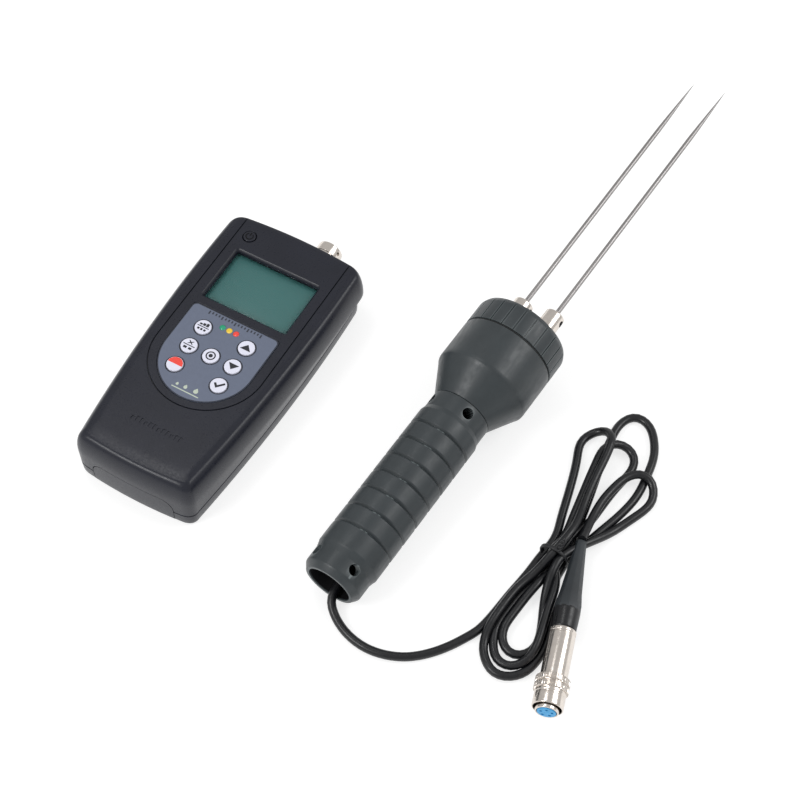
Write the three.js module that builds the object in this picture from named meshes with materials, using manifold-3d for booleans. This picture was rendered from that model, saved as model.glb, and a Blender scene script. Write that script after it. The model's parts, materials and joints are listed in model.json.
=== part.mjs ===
// Two-pin moisture meter: a hand-held reader and the probe it reads, joined by a folded lead.
// Millimetres, +Z up. The reader lies on its back, the probe lies on its head and grip, and the
// lead lies on the same surface. The probe points along +Y.
import * as THREE from 'three';
import { mergeVertices } from 'three/addons/utils/BufferGeometryUtils.js';
import Module from 'manifold-3d';

const wasm = await Module();
wasm.setup();

// ---------------------------------------------------------------- driving dimensions
const GAP = 0.3;               // clearance between two pieces that touch
const CLEAR = 1;               // how far a cutting tool runs past the face that it cuts
const ROUND = 28;              // sides of a large turned piece
const SMALL_ROUND = 12;        // sides of a small turned piece

const READER = {
  x: -48.7, y: -101.1, yaw: 5, half: 81, seam: 9, top: 33, wall: 2.2, roof: 30.6, floor: 2,
  farHalf: 37.9, nearHalf: 34.2, belly: 5.4, cornerFar: 10, cornerNear: 6, cornerLeast: 4,
  bowFar: 1.6, bowNear: 1.5, leanFar: 3.7, leanNear: 0.4, steps: 5,
};
const EDGE = { height: 14, side: 5.5, far: 2.3, near: 5.5, turns: [0, 20, 40, 60, 75, 90] };
const LCD = { x: 24, y0: 24.7, y1: 56.7, bevel: 1.5, depth: 2, lensThick: 1.3, moduleThick: 2.2 };
const OVERLAY = { half: 25.4, top: 18.4, arcY: -8.6, corner: 2.5, recess: 0.8 };
const GROOVE = { half: 31, arcY: -7.4, far: 90, width: 0.7, depth: 0.7 };
const KEY = { radius: 4.3, hole: 4.6, pitch: 12.9, rowY: 6.6, height: 0.7 };
const STEM = { foot: 28.6, radius: 1.6, flangeZ: 29.3, flangeTop: 30.1, flange: 1 };
const POWER = { x: -23.6, y: 67.3, radius: 3.3, hole: 3.7, height: 0.3 };
const LED = { radius: 1.5, hole: 1.8, y: 11.5, pitch: 4, x: -0.4, foot: 29, top: 33.3 };
const BOARD = { half: 31, y0: -58, y1: 56, z0: 24, z1: 25.6, switchTop: 27.4 };
const BAY = { half: 23.2, y0: -74.6, y1: -25.2, top: 14, wall: 1.4 };
const DOOR = { half: 23.5, y1: -22.5, thick: 1.7, tongueTop: 17, tongueThick: 1.7, corner: 7 };
const CELL = { radius: 5.1, length: 44.2, pitch: 11.3, z: 7.6, nub: 1.9 };
const SCREW = {
  farX: 29.5, farY: 63, farPost: 31, nearX: 28.8, nearY: -64, nearPost: 28, post: 3, head: 2.6, shank: 1.3,
};
const SOCKET = { x: 10.7, z: 16.5, face: 81.4, front: 91.2, radius: 7, bore: 5.5, tail: 5.6 };

const PROBE = {
  x: 69.7, y: -168.4, z: 15.82, tilt: 4.3, roll: -15, grip: 16.85, collar: 15.7, neck: 16,
  bore: 11.5, wireBore: 8, boreDepth: 42, gripStart: 13, gripEnd: 98.4, grooveStart: 24.9,
  groovePitch: 10.72, grooves: 7, neckEnd: 109.8, head: 25.5, headStart: 127.6, headEnd: 150.2,
};
const CAP = { back: 151.3, front: 166.3, bore: 20.6, flutes: 24, fluteDepth: 0.6, fluteWidth: 0.8 };
const CROSS_HOLE = { radius: 2.9, length: 40, tail: { at: 6.8, angle: 52 }, neck: { at: 105, angle: 61 } };
const PIN = {
  spacing: 19.2, radius: 1.3, start: 168.6, taper: 314, waist: 337, tip: 352.3,
  holder: 5.4, holderTop: 182, stud: 2.4, studBack: 148, screwAt: 178.6, screw: 1.5,
};

const CORD = { radius: 2.2, sides: 8, steps: 36 };
const HANK = { height: 12.4, tieGroove: 2.6, tieY: -91.5 };
const PLUG = {
  x: 153.7, y: -78.7, z: 8.5, heading: 201.9, boot: 49, bootThin: 2.7, bootWide: 6.7, bootNose: 6.2,
  barrel: 6.5, ring: 8.3, sleeve: 7.5, bore: 6.9, ringAt: 25.3, sleeveEnd: 40.4, nose: 42.2, inside: 5,
};
const KNURL = { teeth: 28, depth: 0.35, rings: [[0, 3.1], [3.6, 6.9]] };

// ---------------------------------------------------------------- materials
function finish(color, roughness, metalness) {
  return new THREE.MeshStandardMaterial({ color, roughness, metalness });
}
const casePlastic = () => finish('#3a3b40', 0.55, 0);
const probePlastic = () => finish('#454c4f', 0.5, 0);
const nickel = () => finish('#d8d2ca', 0.25, 1);
const steel = () => finish('#a9a7a4', 0.3, 1);
const blackSteel = () => finish('#26262a', 0.4, 1);
const blackRubber = () => finish('#1d1f22', 0.6, 0);
const keyPlastic = () => finish('#e2e3f0', 0.4, 0);
const boardGreen = () => finish('#1f5a3a', 0.5, 0);

// ---------------------------------------------------------------- solid helpers
function solidOf(geometry) {
  const bare = new THREE.BufferGeometry();
  bare.setAttribute('position', geometry.getAttribute('position').clone());
  if (geometry.index) bare.setIndex(geometry.index.clone());
  const merged = mergeVertices(bare, 1e-4);
  const points = merged.getAttribute('position').array;
  const index = merged.index.array;
  const faces = [];
  let volume = 0;
  for (let i = 0; i < index.length; i += 3) {
    const [a, b, c] = [index[i], index[i + 1], index[i + 2]];
    if (a === b || b === c || c === a) continue;
    faces.push(a, b, c);
    const [p, q, r] = [a, b, c].map((k) => new THREE.Vector3().fromArray(points, 3 * k));
    volume += p.dot(q.cross(r));
  }
  if (volume < 0) faces.reverse();
  const mesh = new wasm.Mesh({
    numProp: 3, vertProperties: new Float32Array(points), triVerts: new Uint32Array(faces),
  });
  return new wasm.Manifold(mesh);
}

function geometryOf(solid) {
  const mesh = solid.getMesh();
  const geometry = new THREE.BufferGeometry();
  geometry.setAttribute('position', new THREE.BufferAttribute(new Float32Array(mesh.vertProperties), 3));
  geometry.setIndex(new THREE.BufferAttribute(new Uint32Array(mesh.triVerts), 1));
  geometry.computeVertexNormals();
  return geometry;
}

const cut = (body, ...tools) => tools.flat().reduce((rest, tool) => rest.subtract(tool), body);
const join = (body, ...others) => others.flat().reduce((whole, other) => whole.add(other), body);

function box(x0, x1, y0, y1, z0, z1) {
  const geometry = new THREE.BoxGeometry(x1 - x0, y1 - y0, z1 - z0);
  geometry.translate((x0 + x1) / 2, (y0 + y1) / 2, (z0 + z1) / 2);
  return solidOf(geometry);
}

function cylinder(x, y, z0, z1, radius, sides = SMALL_ROUND) {
  const geometry = new THREE.CylinderGeometry(radius, radius, z1 - z0, sides);
  geometry.rotateX(Math.PI / 2);
  geometry.translate(x, y, (z0 + z1) / 2);
  return solidOf(geometry);
}

// A turned solid around the Y axis. The profile lists radius, station pairs along Y.
function turned(profile, sides = SMALL_ROUND) {
  return solidOf(new THREE.LatheGeometry(profile.map(([r, y]) => new THREE.Vector2(r, y)), sides));
}

// A turned tube: the profile closes on itself and never reaches the axis.
const turnedTube = (profile, sides) => turned([...profile, profile[0]], sides);

function extruded(shape, z0, z1, curveSegments = 8) {
  const geometry = new THREE.ExtrudeGeometry(shape, { depth: z1 - z0, bevelEnabled: false, curveSegments });
  geometry.translate(0, 0, z0);
  return solidOf(geometry);
}

// A solid through a stack of outlines that all have the same number of points.
function loft(rings) {
  const count = rings[0].length;
  const centre = (ring) => ring.reduce((sum, p) => sum.add(p), new THREE.Vector3()).divideScalar(count);
  const points = [...rings.flat(), centre(rings[0]), centre(rings.at(-1))];
  const last = count * (rings.length - 1);
  const index = [];
  for (let i = 0; i < count; i += 1) {
    const next = (i + 1) % count;
    for (let base = 0; base < last; base += count) {
      index.push(base + i, base + next, base + count + i);
      index.push(base + next, base + count + next, base + count + i);
    }
    index.push(points.length - 2, next, i);
    index.push(points.length - 1, last + i, last + next);
  }
  const geometry = new THREE.BufferGeometry().setFromPoints(points);
  geometry.setIndex(index);
  return solidOf(geometry);
}

function piece(name, solid, material) {
  const mesh = new THREE.Mesh(geometryOf(solid), material);
  mesh.name = name;
  return mesh;
}

// ---------------------------------------------------------------- reader casing
// One outline of the casing at height z: the far end carries the socket and the near end the
// battery door. side, far and near set the outline in from its widest line.
function caseRing(z, { farWide = 0, nearWide = 0, side = 0, far = 0, near = 0 }) {
  const farX = READER.farHalf + farWide - side;
  const nearX = READER.nearHalf + nearWide - side;
  const farY = READER.half - READER.bowFar - far;
  const nearY = -READER.half + READER.bowNear + near;
  const cf = Math.max(READER.cornerFar - side, READER.cornerLeast);
  const cn = Math.max(READER.cornerNear - side, READER.cornerLeast);
  const bellyX = (farX + nearX) / 2 + READER.belly;
  const shape = new THREE.Shape();
  shape.moveTo(nearX, nearY + cn);
  shape.quadraticCurveTo(bellyX, 0, farX, farY - cf);
  shape.quadraticCurveTo(farX, farY - 1, farX - cf, farY);
  shape.quadraticCurveTo(0, farY + 2 * READER.bowFar, cf - farX, farY);
  shape.quadraticCurveTo(-farX, farY - 1, -farX, farY - cf);
  shape.quadraticCurveTo(-bellyX, 0, -nearX, nearY + cn);
  shape.quadraticCurveTo(-nearX, nearY + 1, cn - nearX, nearY);
  shape.quadraticCurveTo(0, nearY - 2 * READER.bowNear, nearX - cn, nearY);
  shape.quadraticCurveTo(nearX, nearY + 1, nearX, nearY + cn);
  return shape.getPoints(READER.steps).slice(0, -1).map((p) => new THREE.Vector3(p.x, p.y, z));
}

const caseLoft = (levels) => loft(levels.map(({ z, ...inset }) => caseRing(z, inset)));

// The wall leans out as it rises, most at the far end, and a long round leads to the flat face.
function upperOuter() {
  const lean = { farWide: READER.leanFar, nearWide: READER.leanNear };
  const round = EDGE.turns.map((turn) => {
    const a = THREE.MathUtils.degToRad(turn);
    const inset = 1 - Math.cos(a);
    return {
      z: READER.top - EDGE.height * (1 - Math.sin(a)),
      ...lean, side: EDGE.side * inset, far: EDGE.far * inset, near: EDGE.near * inset,
    };
  });
  return caseLoft([{ z: READER.seam + GAP / 2 }, ...round]);
}

function upperInner() {
  const w = READER.wall;
  return caseLoft([
    { z: READER.seam - CLEAR, side: w, far: w, near: w },
    { z: 24, farWide: READER.leanFar / 2, side: w, far: w, near: w + 0.5 },
    { z: READER.roof, farWide: READER.leanFar, side: EDGE.side + w, far: EDGE.far + w, near: EDGE.near + w },
  ]);
}

const roundedRect = (x, y0, y1, r) => {
  const shape = new THREE.Shape();
  shape.moveTo(x - r, y0);
  shape.absarc(x - r, y0 + r, r, -Math.PI / 2, 0, false);
  shape.absarc(x - r, y1 - r, r, 0, Math.PI / 2, false);
  shape.absarc(r - x, y1 - r, r, Math.PI / 2, Math.PI, false);
  shape.absarc(r - x, y0 + r, r, Math.PI, 1.5 * Math.PI, false);
  return shape;
};

// The label's outline: square shoulders with small corners, and a half round foot.
function labelShape(grow) {
  const half = OVERLAY.half + grow;
  const top = OVERLAY.top + grow;
  const r = OVERLAY.corner;
  const shape = new THREE.Shape();
  shape.moveTo(half, OVERLAY.arcY);
  shape.absarc(half - r, top - r, r, 0, Math.PI / 2, false);
  shape.absarc(r - half, top - r, r, Math.PI / 2, Math.PI, false);
  shape.absarc(0, OVERLAY.arcY, half, Math.PI, 2 * Math.PI, false);
  return shape;
}

function uShape(half) {
  const shape = new THREE.Shape();
  shape.moveTo(half, GROOVE.far);
  shape.lineTo(-half, GROOVE.far);
  shape.absarc(0, GROOVE.arcY, half, Math.PI, 2 * Math.PI, false);
  return shape;
}

const panelGroove = () => cut(
  extruded(uShape(GROOVE.half + GROOVE.width / 2), READER.top - GROOVE.depth, READER.top + CLEAR),
  extruded(uShape(GROOVE.half - GROOVE.width / 2), READER.top - 2, READER.top + 2),
);

// The display opening slopes in from the face to the glass.
function displayOpening() {
  const corners = (grow, z) => [[1, 1], [-1, 1], [-1, 0], [1, 0]].map(([sx, far]) => new THREE.Vector3(
    sx * (LCD.x + grow), far ? LCD.y1 + grow : LCD.y0 - grow, z));
  const slope = loft([corners(LCD.bevel, READER.top + 0.01), corners(0, READER.top - LCD.depth)].reverse());
  return join(slope, box(-LCD.x, LCD.x, LCD.y0, LCD.y1, READER.roof - CLEAR, READER.top - LCD.depth + 0.2));
}

const KEYS = [
  ['key_mode', -1, 0], ['key_clear', -1, 1], ['key_backlight', -1, 2], ['key_read', 0, 1],
  ['key_up', 1, 0], ['key_down', 1, 1], ['key_select', 1, 2],
];
const keyPlace = (column, row) => [column * KEY.pitch, KEY.rowY - row * KEY.pitch];
const ledX = (i) => LED.x + i * LED.pitch;
const LEDS = [['led_green', -1, '#1f9a72'], ['led_yellow', 0, '#e8c43a'], ['led_red', 1, '#ee4a3a']];
const SCREWS = [
  ['case_screw_1', -SCREW.farX, SCREW.farY], ['case_screw_2', SCREW.farX, SCREW.farY],
  ['case_screw_3', -SCREW.nearX, SCREW.nearY], ['case_screw_4', SCREW.nearX, SCREW.nearY],
];

function faceHoles(z0, z1) {
  const keys = KEYS.map(([, column, row]) => cylinder(...keyPlace(column, row), z0, z1, KEY.hole));
  const leds = LEDS.map(([, i]) => cylinder(ledX(i), LED.y, z0, z1, LED.hole));
  return [...keys, ...leds];
}

// The tongue of the battery door stands in the near end wall.
function tongue(grow, y0, y1) {
  const top = DOOR.tongueTop + grow;
  const geometry = new THREE.ExtrudeGeometry(
    roundedRect(DOOR.half + grow, -DOOR.corner * 2, top, DOOR.corner),
    { depth: y1 - y0, bevelEnabled: false, curveSegments: 5 },
  );
  geometry.rotateX(Math.PI / 2);
  geometry.translate(0, y1, 0);
  return solidOf(geometry);
}

function socketBore(radius, y0, y1, sides = ROUND) {
  const geometry = new THREE.CylinderGeometry(radius, radius, y1 - y0, sides);
  geometry.translate(SOCKET.x, (y0 + y1) / 2, SOCKET.z);
  return solidOf(geometry);
}

function upperShell() {
  const postTop = (y) => (y > 0 ? SCREW.farPost : SCREW.nearPost);
  const posts = SCREWS.map(([, x, y]) => cylinder(x, y, READER.seam + GAP, postTop(y), SCREW.post));
  const pilots = SCREWS.map(([, x, y]) => cylinder(x, y, READER.seam - CLEAR, 22, SCREW.shank + GAP));
  const hollow = join(cut(upperOuter(), upperInner()), posts);
  return cut(
    hollow,
    pilots,
    displayOpening(),
    extruded(labelShape(GAP), READER.top - OVERLAY.recess, READER.top + CLEAR),
    faceHoles(READER.roof - CLEAR, READER.top + CLEAR),
    cylinder(POWER.x, POWER.y, READER.roof - CLEAR, READER.top + CLEAR, POWER.hole),
    panelGroove(),
    socketBore(SOCKET.tail + GAP, 70, 90),
    tongue(GAP, -90, -READER.half + DOOR.tongueThick + 0.6),
  );
}

function lowerShell() {
  const outer = caseLoft([
    { z: 0, side: 2, far: 2, near: 2 }, { z: 0.8, side: 1, far: 1, near: 1 },
    { z: 2.6, side: 0.3, far: 0.3, near: 0.3 }, { z: READER.seam - GAP / 2 },
  ]);
  const w = READER.wall;
  const inner = caseLoft([
    { z: READER.floor, side: w + 1, far: w + 1, near: w + 1 },
    { z: READER.seam + CLEAR, side: w, far: w, near: w },
  ]);
  const bosses = SCREWS.map(([, x, y]) => cylinder(x, y, READER.floor - 0.5, READER.seam - GAP / 2, 3.9));
  const half = BAY.half + BAY.wall;
  const tub = box(-half, half, BAY.y0 - BAY.wall, BAY.y1 + BAY.wall, 1, BAY.top + BAY.wall);
  const holes = SCREWS.flatMap(([, x, y]) => [
    cylinder(x, y, -CLEAR, 3.4, SCREW.head + GAP),
    cylinder(x, y, -CLEAR, READER.seam + CLEAR, SCREW.shank + GAP),
  ]);
  return cut(
    join(cut(outer, inner), bosses, tub),
    box(-BAY.half, BAY.half, BAY.y0, BAY.y1, DOOR.thick, BAY.top),
    box(-DOOR.half - GAP, DOOR.half + GAP, -90, DOOR.y1 + GAP, -CLEAR, DOOR.thick + GAP),
    tongue(GAP, -90, -READER.half + DOOR.tongueThick + 0.6),
    holes,
    socketBore(SOCKET.tail + GAP, 70, 90),
  );
}

// The door closes the bay from below and wraps up the near end.
function batteryDoor() {
  const plate = box(-DOOR.half, DOOR.half, -READER.half + 0.6, DOOR.y1, 0.15, DOOR.thick);
  const wall = tongue(0, -READER.half - 2, -READER.half + DOOR.tongueThick + GAP);
  const shell = caseLoft([
    { z: 0.15, side: 1.8, far: 2, near: 1.8 }, { z: 0.8, side: 1, far: 1, near: 1 },
    { z: 2.6, side: 0.3, far: 0.3, near: 0.3 }, { z: READER.seam }, { z: 18 },
  ]);
  return join(plate, wall).intersect(shell);
}

function cell() {
  const { radius: r, length, nub } = CELL;
  return turned([[0, 0], [r - 0.5, 0], [r, 0.5], [r, length - 1.5], [r - 0.6, length - 1],
    [nub, length - 1], [nub, length], [0, length]]);
}

function contactPlate(y, thick) {
  return box(-BAY.half + 0.6, BAY.half - 0.6, y, y + thick, 2.6, BAY.top - 0.6);
}

function casingScrew(x, y) {
  return cut(
    join(cylinder(x, y, 0.9, 3, SCREW.head), cylinder(x, y, 2.9, 20, SCREW.shank, 10)),
    box(x - 1.6, x + 1.6, y - 0.35, y + 0.35, 0, 1.8),
    box(x - 0.35, x + 0.35, y - 1.6, y + 1.6, 0, 1.8),
  );
}

// A key: a domed cap on a stem with a flange under the roof that keeps it in.
function keyCap(radius, height) {
  const top = READER.top + height;
  const flange = radius + STEM.flange;
  const cap = turned([
    [0, STEM.foot], [STEM.radius, STEM.foot], [STEM.radius, STEM.flangeZ], [flange, STEM.flangeZ],
    [flange, STEM.flangeTop], [radius, STEM.flangeTop], [radius, top - 0.4], [radius - 0.4, top - 0.1],
    [0, top],
  ]);
  return cap.rotate([90, 0, 0]);
}

const lightPipe = () => turned([
  [0, LED.foot], [LED.radius, LED.foot], [LED.radius, LED.top - 0.2], [0, LED.top],
]).rotate([90, 0, 0]);

function circuitBoard() {
  const board = extruded(roundedRect(BOARD.half, BOARD.y0, BOARD.y1, 3), BOARD.z0, BOARD.z1);
  const inBoard = BOARD.z1 - 0.1;
  const domes = KEYS.map(([, column, row]) => cylinder(...keyPlace(column, row), inBoard, BOARD.switchTop, 3));
  return join(board, domes, box(-14, 14, -48, -30, inBoard, 28));
}

function buildReader() {
  const reader = new THREE.Group();
  reader.add(piece('upper_shell', upperShell(), casePlastic()));
  reader.add(piece('lower_shell', lowerShell(), casePlastic()));
  reader.add(piece('battery_door', batteryDoor(), casePlastic()));
  const pane = (grow, top, thick) => box(
    -LCD.x - grow, LCD.x + grow, LCD.y0 - grow, LCD.y1 + grow, top - thick, top);
  const lensTop = READER.roof - GAP;
  reader.add(piece('display_window', pane(2, lensTop, LCD.lensThick), finish('#9fb4b2', 0.1, 0)));
  const glass = pane(1, lensTop - LCD.lensThick - GAP, LCD.moduleThick);
  reader.add(piece('display_module', glass, finish('#49756f', 0.3, 0)));
  const label = cut(
    extruded(labelShape(0), READER.top - OVERLAY.recess + 0.25, READER.top + 0.05),
    faceHoles(READER.top - 2, READER.top + 2),
  );
  reader.add(piece('keypad_label', label, finish('#616a7a', 0.5, 0)));
  for (const [name, column, row] of KEYS) {
    const cap = piece(name, keyCap(KEY.radius, KEY.height), keyPlastic());
    cap.position.set(...keyPlace(column, row), 0);
    reader.add(cap);
  }
  const power = piece('power_button', keyCap(POWER.radius, POWER.height), casePlastic());
  power.position.set(POWER.x, POWER.y, 0);
  reader.add(power);
  for (const [name, i, color] of LEDS) {
    const lamp = piece(name, lightPipe(), finish(color, 0.3, 0));
    lamp.position.set(ledX(i), LED.y, 0);
    reader.add(lamp);
  }
  reader.add(piece('reader_circuit_board', circuitBoard(), boardGreen()));
  for (let i = 0; i < 4; i += 1) {
    const battery = piece(`battery_${i + 1}`, cell(), finish('#8f8a52', 0.35, 0.4));
    const flip = i % 2 ? -1 : 1;
    battery.rotation.z = flip < 0 ? Math.PI : 0;
    battery.position.set((i - 1.5) * CELL.pitch, -49.9 - flip * CELL.length / 2, CELL.z);
    reader.add(battery);
  }
  reader.add(piece('battery_contact_near', contactPlate(BAY.y0 + 0.3, 0.8), nickel()));
  reader.add(piece('battery_contact_far', contactPlate(BAY.y1 - 1.1, 0.8), nickel()));
  for (const [name, x, y] of SCREWS) reader.add(piece(name, casingScrew(x, y), steel()));
  addSocket(reader);
  reader.position.set(READER.x, READER.y, 0);
  reader.rotation.z = THREE.MathUtils.degToRad(READER.yaw);
  return reader;
}

// ---------------------------------------------------------------- reader socket
function addSocket(reader) {
  const { face, front, radius, bore, tail } = SOCKET;
  const socket = new THREE.Group();
  socket.position.set(SOCKET.x, 0, SOCKET.z);
  const body = turnedTube([
    [tail, 73], [tail, face], [radius, face], [radius, front - 0.6], [radius - 0.6, front],
    [bore, front], [bore, 74.5], [4, 74.5], [4, 73],
  ], 24);
  const keyway = new THREE.BoxGeometry(0.8, 20, 1.2);
  keyway.translate(0, front - 4, radius);
  keyway.rotateY(THREE.MathUtils.degToRad(25));
  const dimple = new THREE.CylinderGeometry(1, 1, 2, 10);
  dimple.rotateX(Math.PI / 2);
  dimple.translate(0, front - 2.6, radius);
  dimple.rotateY(THREE.MathUtils.degToRad(60));
  socket.add(piece('socket_body', cut(body, solidOf(keyway), solidOf(dimple)), nickel()));
  const nutGeometry = new THREE.CylinderGeometry(8, 8, 2.6, 6);
  nutGeometry.translate(0, 75.5, 0);
  const nutHole = new THREE.CylinderGeometry(tail + GAP, tail + GAP, 8, 24);
  nutHole.translate(0, 75.5, 0);
  socket.add(piece('socket_nut', cut(solidOf(nutGeometry), solidOf(nutHole)), nickel()));
  const contacts = Array.from({ length: 5 }, (_, i) => (i + 0.5) * THREE.MathUtils.degToRad(72));
  const post = (angle, r, y0, y1) => {
    const geometry = new THREE.CylinderGeometry(r, r, y1 - y0, 8);
    geometry.translate(3.2 * Math.sin(angle), (y0 + y1) / 2, 3.2 * Math.cos(angle));
    return solidOf(geometry);
  };
  const insulator = turned([[0, 78], [bore - GAP, 78], [bore - GAP, 83], [0, 83]], 24);
  const holes = contacts.map((a) => post(a, 0.8, 70, 90));
  socket.add(piece('socket_insulator', cut(insulator, holes), blackRubber()));
  const base = turned([[0, 76], [4.4, 76], [4.4, 77.6], [0, 77.6]], 16);
  const comb = join(base, contacts.map((a) => post(a, 0.5, 77, 86)));
  socket.add(piece('socket_contacts', comb, finish('#c9a24a', 0.3, 1)));
  reader.add(socket);
}

// ---------------------------------------------------------------- probe
// Two holes at right angles, from the axis out through the upper wall.
function crossHoles({ at, angle }) {
  const { radius, length } = CROSS_HOLE;
  return [0, -90].map((turn) => {
    const geometry = new THREE.CylinderGeometry(radius, radius, length, SMALL_ROUND);
    geometry.rotateX(Math.PI / 2);
    geometry.translate(0, at, length / 2);
    geometry.rotateY(THREE.MathUtils.degToRad(90 - angle + turn));
    return solidOf(geometry);
  });
}

// The grip carries V grooves between its bands, a collar at the tail and a neck at the head.
function handleProfile() {
  const { grip, collar, neck, bore, wireBore, boreDepth } = PROBE;
  const outer = [
    [bore + 0.3, -2], [bore + 1.8, -2], [collar - 0.2, 1], [collar, 1.6], [collar, 9.6],
    [grip - 0.4, 12.4], [grip, PROBE.gripStart + 0.4],
  ];
  for (let i = 0; i < PROBE.grooves; i += 1) {
    const at = PROBE.grooveStart + i * PROBE.groovePitch;
    outer.push([grip, at - 1], [grip - 1.1, at], [grip, at + 1]);
  }
  outer.push([grip, PROBE.gripEnd - 0.6], [neck, PROBE.gripEnd + 2], [neck, PROBE.neckEnd]);
  return [...outer, [wireBore, PROBE.neckEnd], [wireBore, boreDepth], [bore, boreDepth], [bore, -1.7]];
}

const handle = () => cut(
  turnedTube(handleProfile(), ROUND), crossHoles(CROSS_HOLE.tail), crossHoles(CROSS_HOLE.neck),
);

function headHousing() {
  const { neck, head, headStart, headEnd, wireBore } = PROBE;
  const back = PROBE.neckEnd + GAP;
  return turnedTube([
    [wireBore, back], [neck, back], [head - 1.2, headStart - 2], [head - 0.2, headStart - 0.4],
    [head, headStart + 1], [head, headEnd], [19.5, headEnd], [19.5, 128], [wireBore, 119],
  ], ROUND);
}

// The cap ring is fluted all round and clamps the electrode plate to the head.
function capRing() {
  const fluted = new THREE.Shape();
  const pitch = (2 * Math.PI) / CAP.flutes;
  const dip = CAP.fluteWidth / PROBE.head / 2;
  const polar = (r, a) => [r * Math.cos(a), r * Math.sin(a)];
  for (let i = 0; i < CAP.flutes; i += 1) {
    const middle = i * pitch;
    const rim = [[PROBE.head, middle - dip], [PROBE.head - CAP.fluteDepth, middle], [PROBE.head, middle + dip],
      [PROBE.head, middle + pitch / 2]];
    for (const [r, a] of rim) {
      if (fluted.curves.length || fluted.currentPoint.lengthSq()) fluted.lineTo(...polar(r, a));
      else fluted.moveTo(...polar(r, a));
    }
  }
  const bar = extruded(fluted, -CAP.front, -CAP.back).rotate([90, 0, 0]);
  const envelope = turnedTube([
    [CAP.bore, CAP.back], [27, CAP.back], [27, CAP.front - 2.6], [24.2, CAP.front], [CAP.bore, CAP.front],
  ], 48);
  return bar.intersect(envelope);
}

function electrodePlate() {
  const disc = turned([[0, 156], [CAP.bore - GAP, 156], [CAP.bore - GAP, 165.4], [0, 165.4]], ROUND);
  return cut(disc, pinSides().map((side) => studHole(side)));
}

const pinSides = () => [-1, 1].map((side) => side * PIN.spacing / 2);

function studHole(x) {
  const geometry = new THREE.CylinderGeometry(PIN.stud + GAP, PIN.stud + GAP, 40, SMALL_ROUND);
  geometry.translate(x, 160, 0);
  return solidOf(geometry);
}

function pinHolder() {
  const { holder, holderTop, stud, studBack } = PIN;
  const bore = PIN.radius + 0.25;
  const body = turned([
    [0, studBack], [stud, studBack], [stud, 165.8], [holder, 165.8], [holder, holderTop - 1],
    [holder - 1, holderTop], [bore, holderTop], [bore, PIN.start - 0.4], [0, PIN.start - 0.4],
  ]);
  const screwHole = new THREE.CylinderGeometry(PIN.screw + 0.25, PIN.screw + 0.25, 8, 12);
  screwHole.rotateZ(Math.PI / 2);
  screwHole.translate(PIN.radius + 0.6 + 4, PIN.screwAt, 0);
  return cut(body, solidOf(screwHole));
}

function grubScrew() {
  const geometry = new THREE.CylinderGeometry(PIN.screw, PIN.screw, 3, 12);
  geometry.rotateZ(Math.PI / 2);
  geometry.translate(PIN.radius + 0.6 + 1.5, PIN.screwAt, 0);
  const socket = new THREE.CylinderGeometry(0.75, 0.75, 2, 6);
  socket.rotateZ(Math.PI / 2);
  socket.translate(PIN.radius + 0.6 + 3, PIN.screwAt, 0);
  return cut(solidOf(geometry), solidOf(socket));
}

const pin = () => turned([
  [0, PIN.start], [PIN.radius, PIN.start], [PIN.radius, PIN.taper], [PIN.radius * 0.6, PIN.waist], [0, PIN.tip],
]);

function studNut() {
  const geometry = new THREE.CylinderGeometry(4.6, 4.6, 3, 6);
  geometry.translate(0, 153.8, 0);
  const hole = new THREE.CylinderGeometry(PIN.stud + GAP, PIN.stud + GAP, 8, SMALL_ROUND);
  hole.translate(0, 153.8, 0);
  return cut(solidOf(geometry), solidOf(hole));
}

function buildProbe() {
  const probe = new THREE.Group();
  probe.add(piece('grip_handle', handle(), probePlastic()));
  probe.add(piece('head_housing', headHousing(), probePlastic()));
  const seal = turnedTube([[19.8, 150.5], [25, 150.5], [25, 151], [19.8, 151]], ROUND);
  probe.add(piece('head_seal', seal, blackRubber()));
  probe.add(piece('front_cap_ring', capRing(), probePlastic()));
  const front = new THREE.Group();
  front.rotation.y = THREE.MathUtils.degToRad(PROBE.roll);
  front.add(piece('electrode_plate', electrodePlate(), probePlastic()));
  for (const [side, x] of [['left', -PIN.spacing / 2], ['right', PIN.spacing / 2]]) {
    const stand = new THREE.Group();
    stand.position.x = x;
    const turn = new THREE.Group();
    turn.rotation.y = THREE.MathUtils.degToRad(10);
    turn.add(piece(`pin_holder_${side}`, pinHolder(), nickel()));
    turn.add(piece(`grub_screw_${side}`, grubScrew(), blackSteel()));
    stand.add(turn);
    stand.add(piece(`pin_${side}`, pin(), steel()));
    stand.add(piece(`stud_nut_${side}`, studNut(), nickel()));
    front.add(stand);
  }
  const board = turned([[0, 140], [18.5, 140], [18.5, 141.6], [0, 141.6]], ROUND);
  front.add(piece('probe_circuit_board', board, boardGreen()));
  probe.add(front);
  const gland = turnedTube([
    [CORD.radius + GAP, 38], [CORD.radius + 2, 38], [8, 34], [PROBE.bore - GAP, 34], [PROBE.bore - GAP, 41.6],
    [CORD.radius + GAP, 41.6],
  ].reverse(), 24);
  probe.add(piece('cord_gland', gland, blackRubber()));
  probe.position.set(PROBE.x, PROBE.y, PROBE.z);
  probe.rotation.x = THREE.MathUtils.degToRad(PROBE.tilt);
  return probe;
}

// ---------------------------------------------------------------- lead
// The stretch that is not folded: out of the gland, over the lip of the tail and along the floor.
const LEAD_ROUTE = [
  [69.8, -134.3, 18.3], [69.8, -141, 17.4], [70, -149, 14.2], [70.3, -157, 10.4], [70.7, -164.5, 8],
  [71.4, -171.2, 6.9], [74, -174.6, 4.7], [78.6, -177.6, 2.9], [84.6, -180.2, 2.3], [92, -181.9, 2.25],
  [100.5, -181.9, 2.25], [109, -179.6, 2.25], [117.4, -175, 2.25], [124.6, -168, 2.25], [130.6, -159.4, 2.25],
  [135.4, -150, 2.3], [138.6, -142.2, 2.5],
];

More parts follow.
